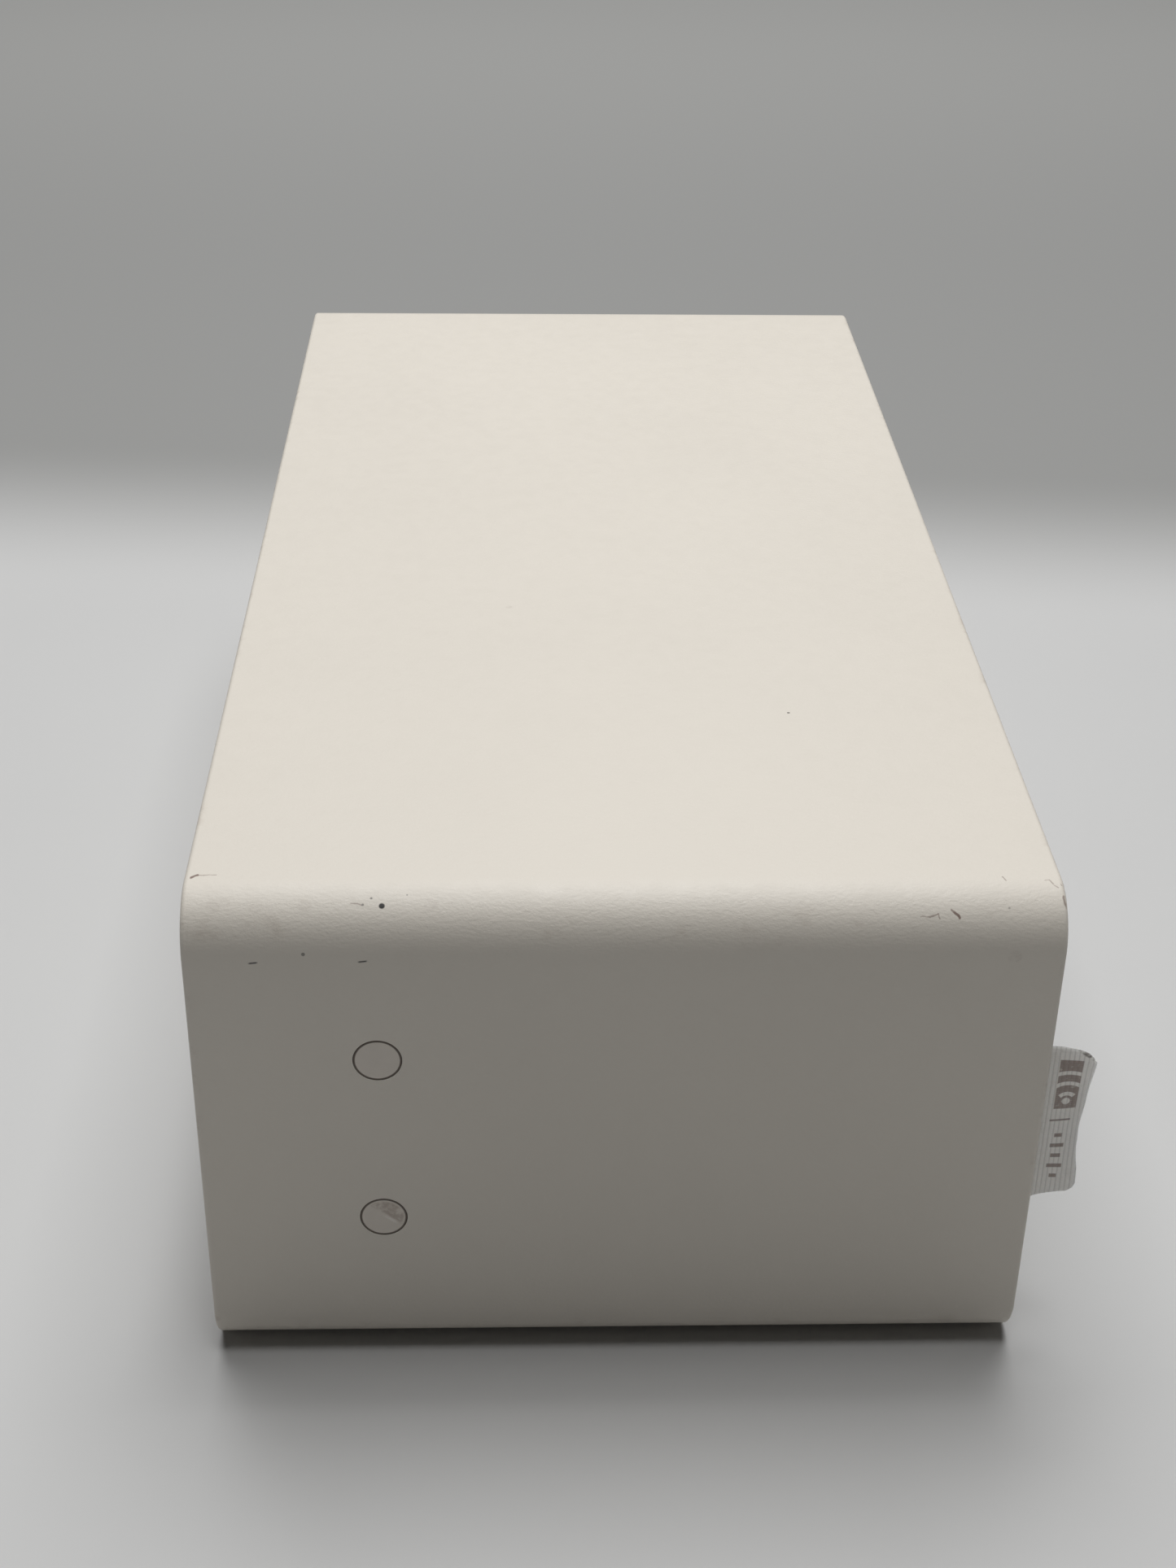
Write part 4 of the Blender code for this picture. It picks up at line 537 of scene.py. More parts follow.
def rounded(corners, steps=5):
    """A closed line through corners (a, b, radius): each is replaced by an arc of that radius
    that touches both sides, with its centre on the corner's bisector."""
    points = np.array([corner[:2] for corner in corners], float)
    line = []
    for i, (_, _, radius) in enumerate(corners):
        here = points[i]
        back = points[i - 1] - here
        on = points[(i + 1) % len(points)] - here
        back, on = back / np.linalg.norm(back), on / np.linalg.norm(on)
        half = math.acos(np.clip(back @ on, -1, 1)) / 2
        if not radius or half > 1.56:
            line.append(here)
            continue
        centre = here + (back + on) / np.linalg.norm(back + on) * radius / math.sin(half)
        start = here + back * radius / math.tan(half) - centre
        end = here + on * radius / math.tan(half) - centre
        turn = math.atan2(start[0] * end[1] - start[1] * end[0], start @ end)
        angles = np.linspace(0, turn, steps + 1)
        cos, sin = np.cos(angles), np.sin(angles)
        arc = [cos * start[0] - sin * start[1], sin * start[0] + cos * start[1]]
        line.extend(centre + np.stack(arc, axis=-1))
    return np.array(line)


def box_path(length, height, radius, centre, far_radius=None, steps=12, spacing=8.0):
    """A rounded rectangle in Y and Z: for each point, its bend's centre, its outward direction,
    its bend's radius, and the way in which a sharp corner would move with depth."""
    far = radius if far_radius is None else far_radius
    bends = ((1, 1, far, 0), (-1, 1, radius, 1), (-1, -1, radius, 2), (1, -1, far, 3))
    anchors, directions, radii, corners = [], [], [], []
    for side_y, side_z, bend, quarter in bends:
        angles = (quarter + np.linspace(0, 1, steps + 1)) * HALF_TURN / 2
        middle = [centre[0] + side_y * (length / 2 - bend), centre[1] + side_z * (height / 2 - bend)]
        anchors.append(np.tile(middle, (len(angles), 1)))
        directions.append(np.stack([np.cos(angles), np.sin(angles)], axis=-1))
        radii.append(np.full(len(angles), bend))
        corners.append(np.tile([side_y, side_z], (len(angles), 1)))
    line = [np.concatenate(part) for part in (anchors, directions, radii, corners)]
    # even points along the straight sides, so that the quads stay near square
    kept = []
    for i in range(len(line[0])):
        after = (i + 1) % len(line[0])
        kept.append(i)
        gap = np.linalg.norm(line[0][after] - line[0][i])
        kept.extend(i + np.linspace(0, 1, max(1, int(gap / spacing)) + 1)[1:-1])
    low = np.floor(kept).astype(int)
    share = np.array(kept) - low
    high = (low + 1) % len(line[0])
    mixed = []
    for part in line:
        weight = share if part.ndim == 1 else share[:, None]
        mixed.append(part[low] * (1 - weight) + part[high] * weight)
    return mixed


def round_path(radius, centre, steps=96):
    """A circle in Y and Z, in the same form as box_path gives."""
    angles = np.linspace(0, 2 * HALF_TURN, steps, endpoint=False)
    directions = np.stack([np.cos(angles), np.sin(angles)], axis=-1)
    return [np.tile(centre, (steps, 1)), directions, np.full(steps, radius), directions]


def rings_on(path, profile, pole_start=None, pole_end=None):
    """Rings of points: each (height, depth) of the profile, carried round the path. A bend
    gets tighter with depth until it is a sharp corner, which then moves straight in. A pole
    closes that end on the path's middle, by rings that shrink towards it."""
    anchors, directions, radii, corners = path
    heights, depths = np.asarray(profile, float).T
    left = radii[None, :, None] - depths[:, None, None]
    flat = anchors[None] + directions[None] * np.maximum(left, 0) + corners[None] * np.minimum(left, 0)
    rings = np.concatenate([np.broadcast_to(heights[:, None, None], (*flat.shape[:2], 1)), flat], 2)
    middle = np.array([0.0, *((anchors.max(0) + anchors.min(0)) / 2)])
    parts = [rings]
    for shares, at in ((pole_start, 0), (pole_end, -1)):
        if shares is None:
            continue
        ring = rings[at]
        centre = middle + [ring[0, 0], 0, 0]
        shrunk = [centre + (ring - centre) * share for share in shares]
        parts = [shrunk[::-1], *parts] if at == 0 else [*parts, shrunk]
    return np.concatenate(parts)


POLE = (0.66, 0.33, 0.0)


def turned_x(name, profile, centre, steps=96, poles=False):
    """A shape turned about the X axis through centre (x, y, z): its profile holds (x, radius),
    x counted from the centre's."""
    shape = [(centre[0] + x, -radius) for x, radius in profile]
    pole = POLE if poles else None
    rings = rings_on(round_path(0, centre[1:], steps), shape, pole, pole)
    return skin(name, rings, closed=not poles)


def carry(mesh, change):
    """Moves every point (x, y, z) of the mesh, in metres, to change(x, y, z)."""
    points = np.empty(len(mesh.vertices) * 3)
    mesh.vertices.foreach_get("co", points)
    moved = np.stack(change(*points.reshape(-1, 3).T), axis=-1)
    mesh.vertices.foreach_set("co", moved.ravel())
    mesh.update()
    return mesh


def towards_minus_y(mesh, centre):
    """Turns a mesh that was made round the X axis at the origin so that it points along -Y."""
    right, along, up = np.array(centre) * MM
    return carry(mesh, lambda x, y, z: (y + right, -x + along, z + up))


def prism(name, line, low, high):
    """A closed line in Y and Z drawn out along X from low to high."""
    ends = [np.insert(np.asarray(line, float), 0, x, axis=1) for x in (low, high)]
    middle = [np.tile(ring.mean(0), (len(line), 1)) for ring in ends]
    return skin(name, [middle[0], *ends, middle[1]], closed=False)


def plate(name, path, corners, start, steps=5):
    """A closed profile carried round the path. It is opened at its sharp corner start, and
    both its ends close on the path's middle."""
    line = rounded(corners, steps)
    first = np.argmin(np.hypot(*(line - start).T))
    return skin(name, rings_on(path, np.roll(line, -first, axis=0), POLE, POLE), closed=False)


def drum(name, radius, centre, low, high, steps=64):
    """A plain cylinder along X, only ever a cutter or a core."""
    return prism(name, round_path(0, centre, steps)[1] * radius + np.array(centre), low, high)


def carve(mesh, cutters, added=()):
    """The mesh with some meshes joined on and others cut away. Each is used up."""
    scene = bpy.context.scene.collection
    base = bpy.data.objects.new("work", mesh)
    scene.objects.link(base)
    tools = []
    for operation, shapes in (("UNION", added), ("DIFFERENCE", cutters)):
        for shape in shapes:
            tool = bpy.data.objects.new("tool", shape)
            scene.objects.link(tool)
            tools.append(tool)
            step = base.modifiers.new("carve", "BOOLEAN")
            step.object = tool
            step.operation = operation
    bpy.context.view_layer.update()
    graph = bpy.context.evaluated_depsgraph_get()
    result = bpy.data.meshes.new_from_object(base.evaluated_get(graph))
    result.name = mesh.name
    for tool in [base, *tools]:
        shape = tool.data
        bpy.data.objects.remove(tool)
        bpy.data.meshes.remove(shape)
    return result


# ---------------------------------------------------------------- cabinet
sleeve_low, sleeve_high = node_box("cabinet_sleeve")
plug_boxes = {side: node_box(f"end_plug_{side}") for side in ("upper", "lower")}
plug_middles = {side: (low + high) / 2 for side, (low, high) in plug_boxes.items()}
bay_low, bay_high = node_box("connection_bay")
FULL = (sleeve_high - sleeve_low)[1:]
WALL, CORNER = 3.0, 10.2
# what closes the cabinet is this much smaller, and has this corner
FIT_GAP, FIT_CORNER = 0.6, 6.9
FIT_SIZE = FULL - 2 * WALL - FIT_GAP
SCREW_HOLE = 1.8
REAR_X = node_box("rear_panel")[0][0]
PANEL_FRONT = REAR_X + 3.0
SEAT_RADIUS, SEAT_DEPTH = 4.3, 1.8
INSERT_RADIUS = 2.9


def shell_mesh():
    """The cabinet's wall, carried round its rounded rectangle: outer face, two round rims,
    inner face, and the ledges that the baffle and the rear panel close against."""
    front_ledge = node_box("baffle_gasket")[0][0] - 0.3
    rear_ledge = PANEL_FRONT + 0.3
    back, front = sleeve_low[0], sleeve_high[0]
    ledge = WALL + 5
    corners = [
        (back, 0, 0.9),
        (front, 0, 0.9),
        (front, WALL, 0.45),
        (front_ledge, WALL, 0.2),
        (front_ledge, ledge, 0.4),
        (front_ledge - 3, ledge, 0.4),
        (front_ledge - 3, WALL, 0.6),
        (rear_ledge + 3, WALL, 0.6),
        (rear_ledge + 3, ledge, 0.4),
        (rear_ledge, ledge, 0.4),
        (rear_ledge, WALL, 0.2),
        (back, WALL, 0.45),
    ]
    path = box_path(*FULL, CORNER, (0, MID_Z), steps=16)
    mesh = skin("cabinet_shell", rings_on(path, rounded(corners)))
    added, cutters = [], []
    for side, middle in plug_middles.items():
        right, _, up = middle * MM
        boss = drum("boss", INSERT_RADIUS + 3.3, (0, 0), -153.2, -140.8)
        seat = drum("seat", SEAT_RADIUS, (0, 0), -165, PLUG_END + SEAT_DEPTH, 96)
        bore = drum("bore", INSERT_RADIUS + 0.3, (0, 0), -160, -143.6)
        for shape in (boss, seat, bore):
            carry(shape, lambda x, y, z: (right + z, x, up + y))
        added.append(boss)
        cutters += [seat, bore]
    return carve(mesh, cutters, added)


def plug_mesh(middle):
    """A plug turned about Y: a flat head with a small round edge, and a stem."""
    head, stem = 4.22, 1.3
    profile = [(0, 4.0), (-0.02, 4.1), (-0.09, 4.19), (-0.2, head), (-1.4, head), (-1.5, 4.1)]
    profile += [(-1.5, stem + 0.3), (-1.8, stem), (-6.7, stem), (-7.0, stem - 0.3)]
    mesh = turned_x("plug", profile, (0, 0, 0), 96, poles=True)
    return towards_minus_y(mesh, (middle[0], PLUG_END, middle[2]))


def insert_mesh(node, middle):
    """A brass insert turned about Y: knurled bands outside, and a fine thread in its bore."""
    length, outer, bore = 9.0, INSERT_RADIUS, 1.7
    band = [(x, outer if 0.8 < x % 3 < 2.6 else outer - 0.35) for x in np.linspace(0.2, 8.8, 44)]
    outside = [(0, outer - 0.3), *band, (length, outer - 0.3)]
    turns = np.linspace(length - 0.2, 0.5, 49)
    thread = [(x, bore + (0.16 if i % 2 else 0)) for i, x in enumerate(turns)]
    profile = [*outside, (length, bore + 0.3), *thread, (0, bore + 0.4)]
    mesh = turned_x("insert", [(-x, radius) for x, radius in profile], (0, 0, 0), 48)
    return towards_minus_y(mesh, (middle[0], node_box(node)[0][1], middle[2]))


add_piece("cabinet_shell", shell_mesh(), shell_finish(), CABINET, "cabinet_sleeve")
brass = metal("turned_brass", (0.80, 0.60, 0.27), 0.3)
for side, middle in plug_middles.items():
    finish = plug_finish(f"{side}_plug_silicone", (middle[0], PLUG_END, middle[2]), side == "lower")
    add_piece(f"{side}_plug", plug_mesh(middle), finish, f"{side}_plug", f"end_plug_{side}")
    node = f"bracket_insert_{side}"
    add_piece(f"{side}_insert", insert_mesh(node, middle), brass, CABINET, node)


# ---------------------------------------------------------------- grille
cloth_low, cloth_high = node_box("grille_cloth")
tag_low, tag_high = node_box("label_tag")


def cloth_mesh():
    """The cloth over its frame: a face that dips by up to 0.25 mm between the frame's bars,
    carried over a rounded edge and down the sides, and back up its own inner face."""
    back, face, thick = cloth_low[0], cloth_high[0], 0.8
    size = (cloth_high - cloth_low)[1:]
    middle = middle_of("grille_cloth")
    path = box_path(*size, 6.0, middle, far_radius=2.0, steps=10, spacing=4)
    angles = np.linspace(0, HALF_TURN / 2, 7)
    bend = 1.6
    over = [(face - bend + bend * math.cos(a), bend - bend * math.sin(a)) for a in angles]
    down = [(x, 0.0) for x in np.linspace(face - bend, back + 0.3, 5)[1:]]
    hem = [(back + 0.08, 0.12), (back, 0.3), (back, thick - 0.2), (back + 0.2, thick)]
    under = face - thick
    inside = [(under - bend + 0.9, thick), (under - 0.2, thick + 0.15), (under, thick + 0.9)]
    shares = np.linspace(1, 0, 15)[1:]
    rings = rings_on(path, [*over, *down, *hem, *inside], shares, shares)
    outer = len(shares)
    reach = np.abs(rings[:outer, :, 1] - middle[0]) / (size[0] / 2)
    rise = np.abs(rings[:outer, :, 2] - middle[1]) / (size[1] / 2)
    dip = 0.25 * (1 - reach**4) * (1 - rise**2)
    rings[:outer, :, 0] -= np.clip(dip, 0, None)
    rings[-outer:, :, 0] -= np.clip(dip, 0, None)[::-1]
    return skin("stretched_cloth", rings, closed=False)


def tag_mesh():
    """The ribbon: x runs from its held edge to a wavy free edge and z between its sides,
    which draw in towards the free edge. It curls out of its plane beyond the cabinet's rim,
    and its thickness falls to nothing at the borders, as half an ellipse."""
    columns, rows, half = 40, 90, 0.24
    u = np.linspace(0, 1, columns)[None, :]
    v = np.linspace(0, 1, rows)[:, None]
    free_z = [0.0, 0.02, 0.05, 0.16, 0.31, 0.43, 0.53, 0.65, 0.77, 0.87, 0.94, 0.98, 1.0]
    free_x = [82.0, 83.0, 83.4, 83.5, 82.9, 83.0, 83.3, 83.5, 83.8, 83.9, 84.0, 83.2, 82.3]
    free = np.interp(v, free_z, free_x) + 0.08 * np.sin(v * 23)
    held = tag_low[0]
    x = held + (free - held) * u
    beyond = np.clip((x - 75.5) / 8, 0, 1)
    low = tag_low[2] - 0.9 + 2.2 * beyond**0.6
    high = tag_high[2] - 0.1 - 1.3 * beyond**2
    z = low + (high - low) * v
    middle = (tag_low[1] + tag_high[1]) / 2
    wave = -0.9 * beyond**2 * np.cos(v * 5.2 + 0.5)
    y = middle + (wave - 0.5 * beyond**3 * np.clip((v - 0.8) / 0.2, 0, 1) ** 2)
    edge = np.minimum(np.minimum(u, 1 - u) * columns / 2.5, np.minimum(v, 1 - v) * rows / 2.5)
    thick = half * np.sqrt(np.clip(1 - (1 - np.clip(edge, 0, 1)) ** 2, 0, 1))
    near = np.stack([x, y - thick, z], axis=-1)
    far = np.stack([x, y + thick, z], axis=-1)
    rings = np.concatenate([near, far[:, ::-1]], axis=1)
    return skin("woven_tag", rings, closed=False)


cloth = add_piece("stretched_cloth", cloth_mesh(), cloth_finish(), GRILLE, "grille_cloth", smooth=60)
ribbon = ribbon_finish((tag_low[2] + tag_high[2]) / 2)
tag = add_piece("woven_tag", tag_mesh(), ribbon, GRILLE, "label_tag", smooth=60)


# ---------------------------------------------------------------- control strip
strip_low, strip_high = node_box("control_strip")
BUTTONS = {
    "volume_down_button": ("volume_down_key", "minus"),
    "play_button": ("play_key", "play"),
    "volume_up_button": ("volume_up_key", "plus"),
}


def strip_mesh(holes):
    """The control strip: a shallow tray whose rim and face are one round-edged profile,
    with a hole for each button and the light."""
    size = (strip_high - strip_low)[1:]
    back, face, wall = strip_low[0], strip_high[0], 2.0
    path = box_path(*size, 2.0, middle_of("control_strip"), far_radius=FIT_CORNER, steps=10)
    corners = [(back, 0, 0.3), (face, 0, 0.7), (face, 3.0, 0), (face - wall, 3.0, 0)]
    corners += [(face - wall, wall, 0.4), (back, wall, 0.2)]
    mesh = plate("control_tray", path, corners, (face - wall, 3.0))
    return carve(mesh, [drum("hole", radius, centre, face - 5, face + 2) for centre, radius in holes])


def button_mesh(node):
    """A button turned about X: a dished cap with a round edge, a skirt, a rim and a stem."""
    low, high = node_box(node)
    face, cap, rim, stem = high[0], 6.5, 7.7, 3.0
    skirt = face - 0.4 - 2.0 - 0.3
    profile = [(-0.16, 0.01), (-0.13, 2.6), (-0.05, 4.6), (0, 5.7), (-0.05, 6.15), (-0.18, 6.4), (-0.4, cap)]
    profile = [(face + x, radius) for x, radius in profile]
    profile += [(skirt, cap), (skirt, rim), (skirt - 1.5, rim), (skirt - 1.5, stem), (low[0], stem)]
    return turned_x("cap", profile, (0, *middle_of(node)), 96, poles=True)


strip_finish = moulded("satin_white_plastic", (0.785, 0.735, 0.66), 0.5, 0.5, 0.02)
lens_low, lens_high = node_box("status_lens")
lens_middle = middle_of("status_lens")
holes = [(lens_middle, 1.4)]
for node, (body, symbol) in BUTTONS.items():
    middle = middle_of(node)
    holes.append((middle, 6.8))
    finish = button_finish(f"{symbol}_cap", symbol, (node_box(node)[0][0] + 4, *middle))
    add_piece(f"{symbol}_cap", button_mesh(node), finish, body, node)
add_piece("control_tray", strip_mesh(holes), strip_finish, CABINET, "control_strip")
lens_face = lens_high[0]
lens_profile = [(0.02, 0.4), (0, 0.8), (-0.08, 1.0), (-0.2, 1.1), (lens_low[0] - lens_face, 1.1)]
lens = turned_x("light_guide", lens_profile, (lens_face, *lens_middle), 48, poles=True)
add_piece("light_guide", lens, glass_finish(), CABINET, "status_lens")


# ---------------------------------------------------------------- rear
inlet_front, jack_front = (node_box(node)[0][0] for node in ("mains_inlet", "ethernet_jack"))
port_low, port_high = node_box("bass_port_tube")
BAY_MIDDLE = middle_of("connection_bay")
BAY_SIZE = (bay_high - bay_low)[1:] - 12
BAY_FLOOR = bay_high[0] - 2.0
PORT_MIDDLE = middle_of("bass_port_tube")
rear_white = moulded("grained_rear_plastic", (0.70, 0.66, 0.60), 0.6, 0.7, 0.05)
bay_white = moulded("smooth_rear_plastic", (0.66, 0.625, 0.57), 0.5, 0.4, 0.02)
black_gloss = moulded("black_socket_plastic", (0.022, 0.022, 0.024), 0.4, 0.4, 0.015)


def panel_mesh():
    """The rear panel: a plate with a raised border and round edges, cut for the bay, the
    port and the screws."""
    path = box_path(*FIT_SIZE, FIT_CORNER, (0, MID_Z), steps=12)
    corners = [(PANEL_FRONT, 0, 0.2), (REAR_X, 0, 0.5), (REAR_X, 1.8, 0.25), (REAR_X + 0.35, 2.2, 0.25)]
    corners += [(REAR_X + 0.35, 3.2, 0.25), (REAR_X, 3.6, 0.25), (REAR_X, 9, 0), (PANEL_FRONT, 9, 0)]
    mesh = plate("rear_plate", path, corners, (PANEL_FRONT, 9), 4)
    opening = rounded([(*corner, 4.0) for corner in rectangle(BAY_MIDDLE, BAY_SIZE)], 8)
    cutters = [prism("bay", opening, REAR_X - 5, PANEL_FRONT + 5)]
    cutters.append(drum("port", 23.0, PORT_MIDDLE, REAR_X - 5, PANEL_FRONT + 5, 96))
    for i in range(1, 5):
        middle = middle_of(f"rear_screw_{i}")
        cutters.append(drum("seat", 2.9, middle, REAR_X - 5, REAR_X + 1.7, 48))
        cutters.append(drum("hole", SCREW_HOLE, middle, REAR_X - 5, PANEL_FRONT + 5, 32))
    return carve(mesh, cutters)


def rectangle(middle, size):
    """The four corners of a rectangle, in order."""
    half = np.array(size) / 2
    sides = ((1, 1), (-1, 1), (-1, -1), (1, -1))
    return [(middle[0] + y * half[0], middle[1] + z * half[1]) for y, z in sides]


def bay_mesh():
    """The connection bay: flange, wall and floor as one profile carried round the bay's
    rounded rectangle, closed on the middle of the floor, with two windows."""
    wall, reach = 2.0, 6.0
    back, depth = bay_low[0], reach - wall
    path = box_path(*(BAY_SIZE + 2 * reach), 4.0 + reach, BAY_MIDDLE, steps=10)
    corners = [(BAY_FLOOR, 16, 0), (BAY_FLOOR, reach, 1.6), (back, reach, 0.4), (back, 0, 0.3)]
    corners += [(back + wall, 0, 0.3), (back + wall, depth, 0.6)]
    corners += [(BAY_FLOOR + wall, depth, 1.6), (BAY_FLOOR + wall, 16, 0)]
    mesh = plate("socket_bay", path, corners, (BAY_FLOOR, 16), 6)
    cutters = []
    for node in ("mains_inlet", "ethernet_jack"):
        low, high = node_box(node)
        size = (high - low)[1:] - 3 + 0.6
        line = rounded([(*corner, 0.5) for corner in rectangle(middle_of(node), size)], 3)
        cutters.append(prism("window", line, BAY_FLOOR - 1, BAY_FLOOR + 5))
    return carve(mesh, cutters)


def socket_mesh(name, node, mouth_line, depth):
    """A socket's body with a collar, and a mouth of the given outline sunk into it."""
    low, high = node_box(node)
    path = box_path(*(high - low)[1:], 1.8, middle_of(node), steps=4, spacing=50)
    front, back = low[0], high[0]
    collar = BAY_FLOOR + 2.3
    corners = [(back, 1.5, 0.4), (collar + 1.5, 1.5, 0), (collar + 1.5, 0, 0.2), (collar, 0, 0.2)]
    corners += [(collar, 1.5, 0), (front, 1.5, 0.35), (front, 1.78, 0), (back, 1.78, 0)]
    mesh = plate(name, path, corners, (back, 1.78), 4)
    return carve(mesh, [prism("mouth", mouth_line, front - 1, front + depth)])


def port_mesh():
    """The bass port, turned about X: a mouth that flares as a quarter ellipse, a straight
    bore, and a smaller flare at its inner end."""
    length = port_high[0] - port_low[0]
    bore, mouth, wall = 15.0, 20.5, 2.2
    angles = np.linspace(0, HALF_TURN / 2, 15)
    spread = mouth - bore
    flare = [(spread * 1.6 * (1 - math.cos(a)), bore + spread * (1 - math.sin(a))) for a in angles]
    inner = [(length - 4 + 4 * math.sin(a), bore + wall * (1 - math.cos(a))) for a in angles]
    profile = [
        *flare,
        *inner,
        (length, bore + 2 * wall - 0.3),
        (length - 0.4, bore + 2 * wall),
        (length - 4, bore + wall),
        (8.3, bore + wall),
        (5.1, mouth + wall + 3),
        (3.3, mouth + wall + 3),
        (3.3, mouth + wall),
        (0.3, mouth + wall),
        (0.05, mouth + wall - 0.2),
        (0, mouth + wall - 0.5),
        (0, mouth + 0.4),
    ]
    return turned_x("bass_port", profile, (port_low[0], *PORT_MIDDLE), 128)


def screw_mesh(node, facing):
    """A pan-head screw along X: a domed head with a cross recess, and a threaded shank.
    Facing is 1 if its head looks to +X, and -1 if it looks to -X."""
    low, high = node_box(node)
    middle = middle_of(node)
    top = high[0] if facing > 0 else low[0]
    length = high[0] - low[0]
    angles = np.linspace(0, HALF_TURN / 2, 9)
    head = [(-0.9 * (1 - math.cos(a)), 2.55 * math.sin(a) + 0.02) for a in angles]
    turns = np.arange(2.2, length - 1.2, 0.3)
    thread = [(-x, 1.5 if i % 2 else 1.15) for i, x in enumerate(turns)]
    profile = [*head, (-1.6, 2.55), (-1.7, 2.45), (-1.7, 1.5), *thread, (-length, 0.2)]
    profile = [(x * facing, radius) for x, radius in profile]
    mesh = turned_x("screw", profile, (top, *middle), 48, poles=True)
    recess = sorted((top + facing, top - facing * 1.05))
    sides = np.array([(-1, -1), (1, -1), (1, 1), (-1, 1)])
    slots = [middle + sides * half for half in ((1.45, 0.32), (0.32, 1.45))]
    return carve(mesh, [prism("cross", line, *recess) for line in slots])


def add_screws(place, count, facing, finish):
    for i in range(1, count + 1):
        node = f"{place}_screw_{i}"
        add_piece(f"{place}_fixing_{i}", screw_mesh(node, facing), finish, CABINET, node)


def screw_holes(place, count, face):
    nodes = [f"{place}_screw_{i}" for i in range(1, count + 1)]
    return [drum("hole", SCREW_HOLE, middle_of(node), face - 4, face + 2, 32) for node in nodes]


add_piece("rear_plate", panel_mesh(), rear_white, CABINET, "rear_panel")
add_piece("socket_bay", bay_mesh(), bay_white, CABINET, "connection_bay")
port_black = moulded("port_plastic", (0.03, 0.03, 0.032), 0.6, 0.5, 0.03)
add_piece("bass_port", port_mesh(), port_black, CABINET, "bass_port_tube")

inlet_middle = middle_of("mains_inlet")
angles = np.linspace(0, 2 * HALF_TURN, 72, endpoint=False)
lobes = np.stack([np.cos(angles), np.sin(angles)], axis=-1)
# two lobes side by side, joined by a waist
figure_eight = lobes * 4.29 + np.sign(np.round(lobes[:, :1], 6)) * [[4.0, 0]]
waist = np.abs(figure_eight[:, 0]) < 1.6
figure_eight[waist, 1] *= 0.9
mains = socket_mesh("mains_socket", "mains_inlet", figure_eight + inlet_middle, 11)
add_piece("mains_socket", mains, black_gloss, CABINET, "mains_inlet")
plated = metal("plated_steel", (0.62, 0.63, 0.64), 0.3)
for name, side in (("left_pin", -1), ("right_pin", 1)):
    pin_profile = [(0, 0.5), (0.1, 0.85), (0.4, 1.12), (0.9, 1.2), (9.0, 1.2)]
    pin_place = (inlet_front + 2.5, inlet_middle[0] + side * 4.3, inlet_middle[1])
    add_piece(name, turned_x("pin", pin_profile, pin_place, 32, poles=True), plated, CABINET)

y, z = middle_of("ethernet_jack")[0], MID_Z - 4.6
steps = [(-5.9, 0), (5.9, 0), (5.9, 7.4), (3.1, 7.4), (3.1, 8.8), (-3.1, 8.8), (-3.1, 7.4), (-5.9, 7.4)]
step_line = rounded([(y + across, z + up, 0.2) for across, up in steps], 2)
network = socket_mesh("network_socket", "ethernet_jack", step_line, 12)
add_piece("network_socket", network, plated, CABINET, "ethernet_jack")
gold = metal("gold_contact", (0.90, 0.66, 0.30), 0.25)
# a contact springs from the socket's floor, up and back towards its mouth
spring = [(2.2, 0.2), (6.0, 1.6), (9.4, 3.0), (10.2, 3.2), (10.2, 2.9), (9.5, 2.7), (6.1, 1.3), (2.3, -0.05)]
spring = np.array(spring)
CONTACT_PITCH, CONTACT_WIDTH = 1.02, 0.44
for i in range(8):
    side_y = y - 3.57 + i * CONTACT_PITCH - CONTACT_WIDTH / 2
    strip = np.stack([jack_front + spring[:, 0], np.full(8, side_y), z + spring[:, 1]], axis=-1)
    other = strip + [0, CONTACT_WIDTH, 0]
    ends = [np.tile(ring.mean(0), (8, 1)) for ring in (strip, other)]
    contact = skin("contact", [ends[0], strip, other, ends[1]], closed=False)
    add_piece(f"contact_{i + 1}", contact, gold, CABINET)

dark_screw = metal("blackened_steel", (0.10, 0.10, 0.105), 0.4)
add_screws("rear", 4, -1, plated)


# ---------------------------------------------------------------- baffle and drivers
WOOFER, TWEETER = (
    np.array([node_box(node)[1][0], *middle_of(node)]) for node in ("woofer_basket", "tweeter_faceplate")
)
black_plastic = moulded("black_moulding", (0.020, 0.020, 0.021), 0.55, 0.5, 0.03)
flange_black = moulded("flange_moulding", (0.026, 0.026, 0.028), 0.45, 0.35, 0.02)


def baffle_mesh():
    """The front baffle: a round-edged plate cut for the two drivers, the grille's pegs and
    the button cable."""
    path = box_path(*FIT_SIZE, FIT_CORNER, (0, MID_Z), steps=10)
    front = node_box("grille_frame")[0][0] + 3.9
    back = front - 5
    corners = [(back, 0, 0.3), (front, 0, 0.4), (front, 5, 0), (back, 5, 0)]
    mesh = plate("front_board", path, corners, (back, 5), 4)
    cutters = []
    for middle, outer, hole, floor in ((WOOFER, 44.3, 38.2, 3.6), (TWEETER, 30.3, 24.8, 2.3)):
        cutters.append(drum("seat", outer, middle[1:], middle[0] - floor, front + 3, 128))
        cutters.append(drum("hole", hole, middle[1:], back - 3, front + 3, 128))
    for y in (-135.8, 32.0, 109.8):
        for side in (-1, 1):
            cutters.append(drum("socket", 2.4, (y, MID_Z + side * 42.2), front - 4.2, front + 2, 40))
    cutters.append(drum("cable", 2.4, (143.85, MID_Z), back - 2, front + 2, 40))
    return carve(mesh, cutters)


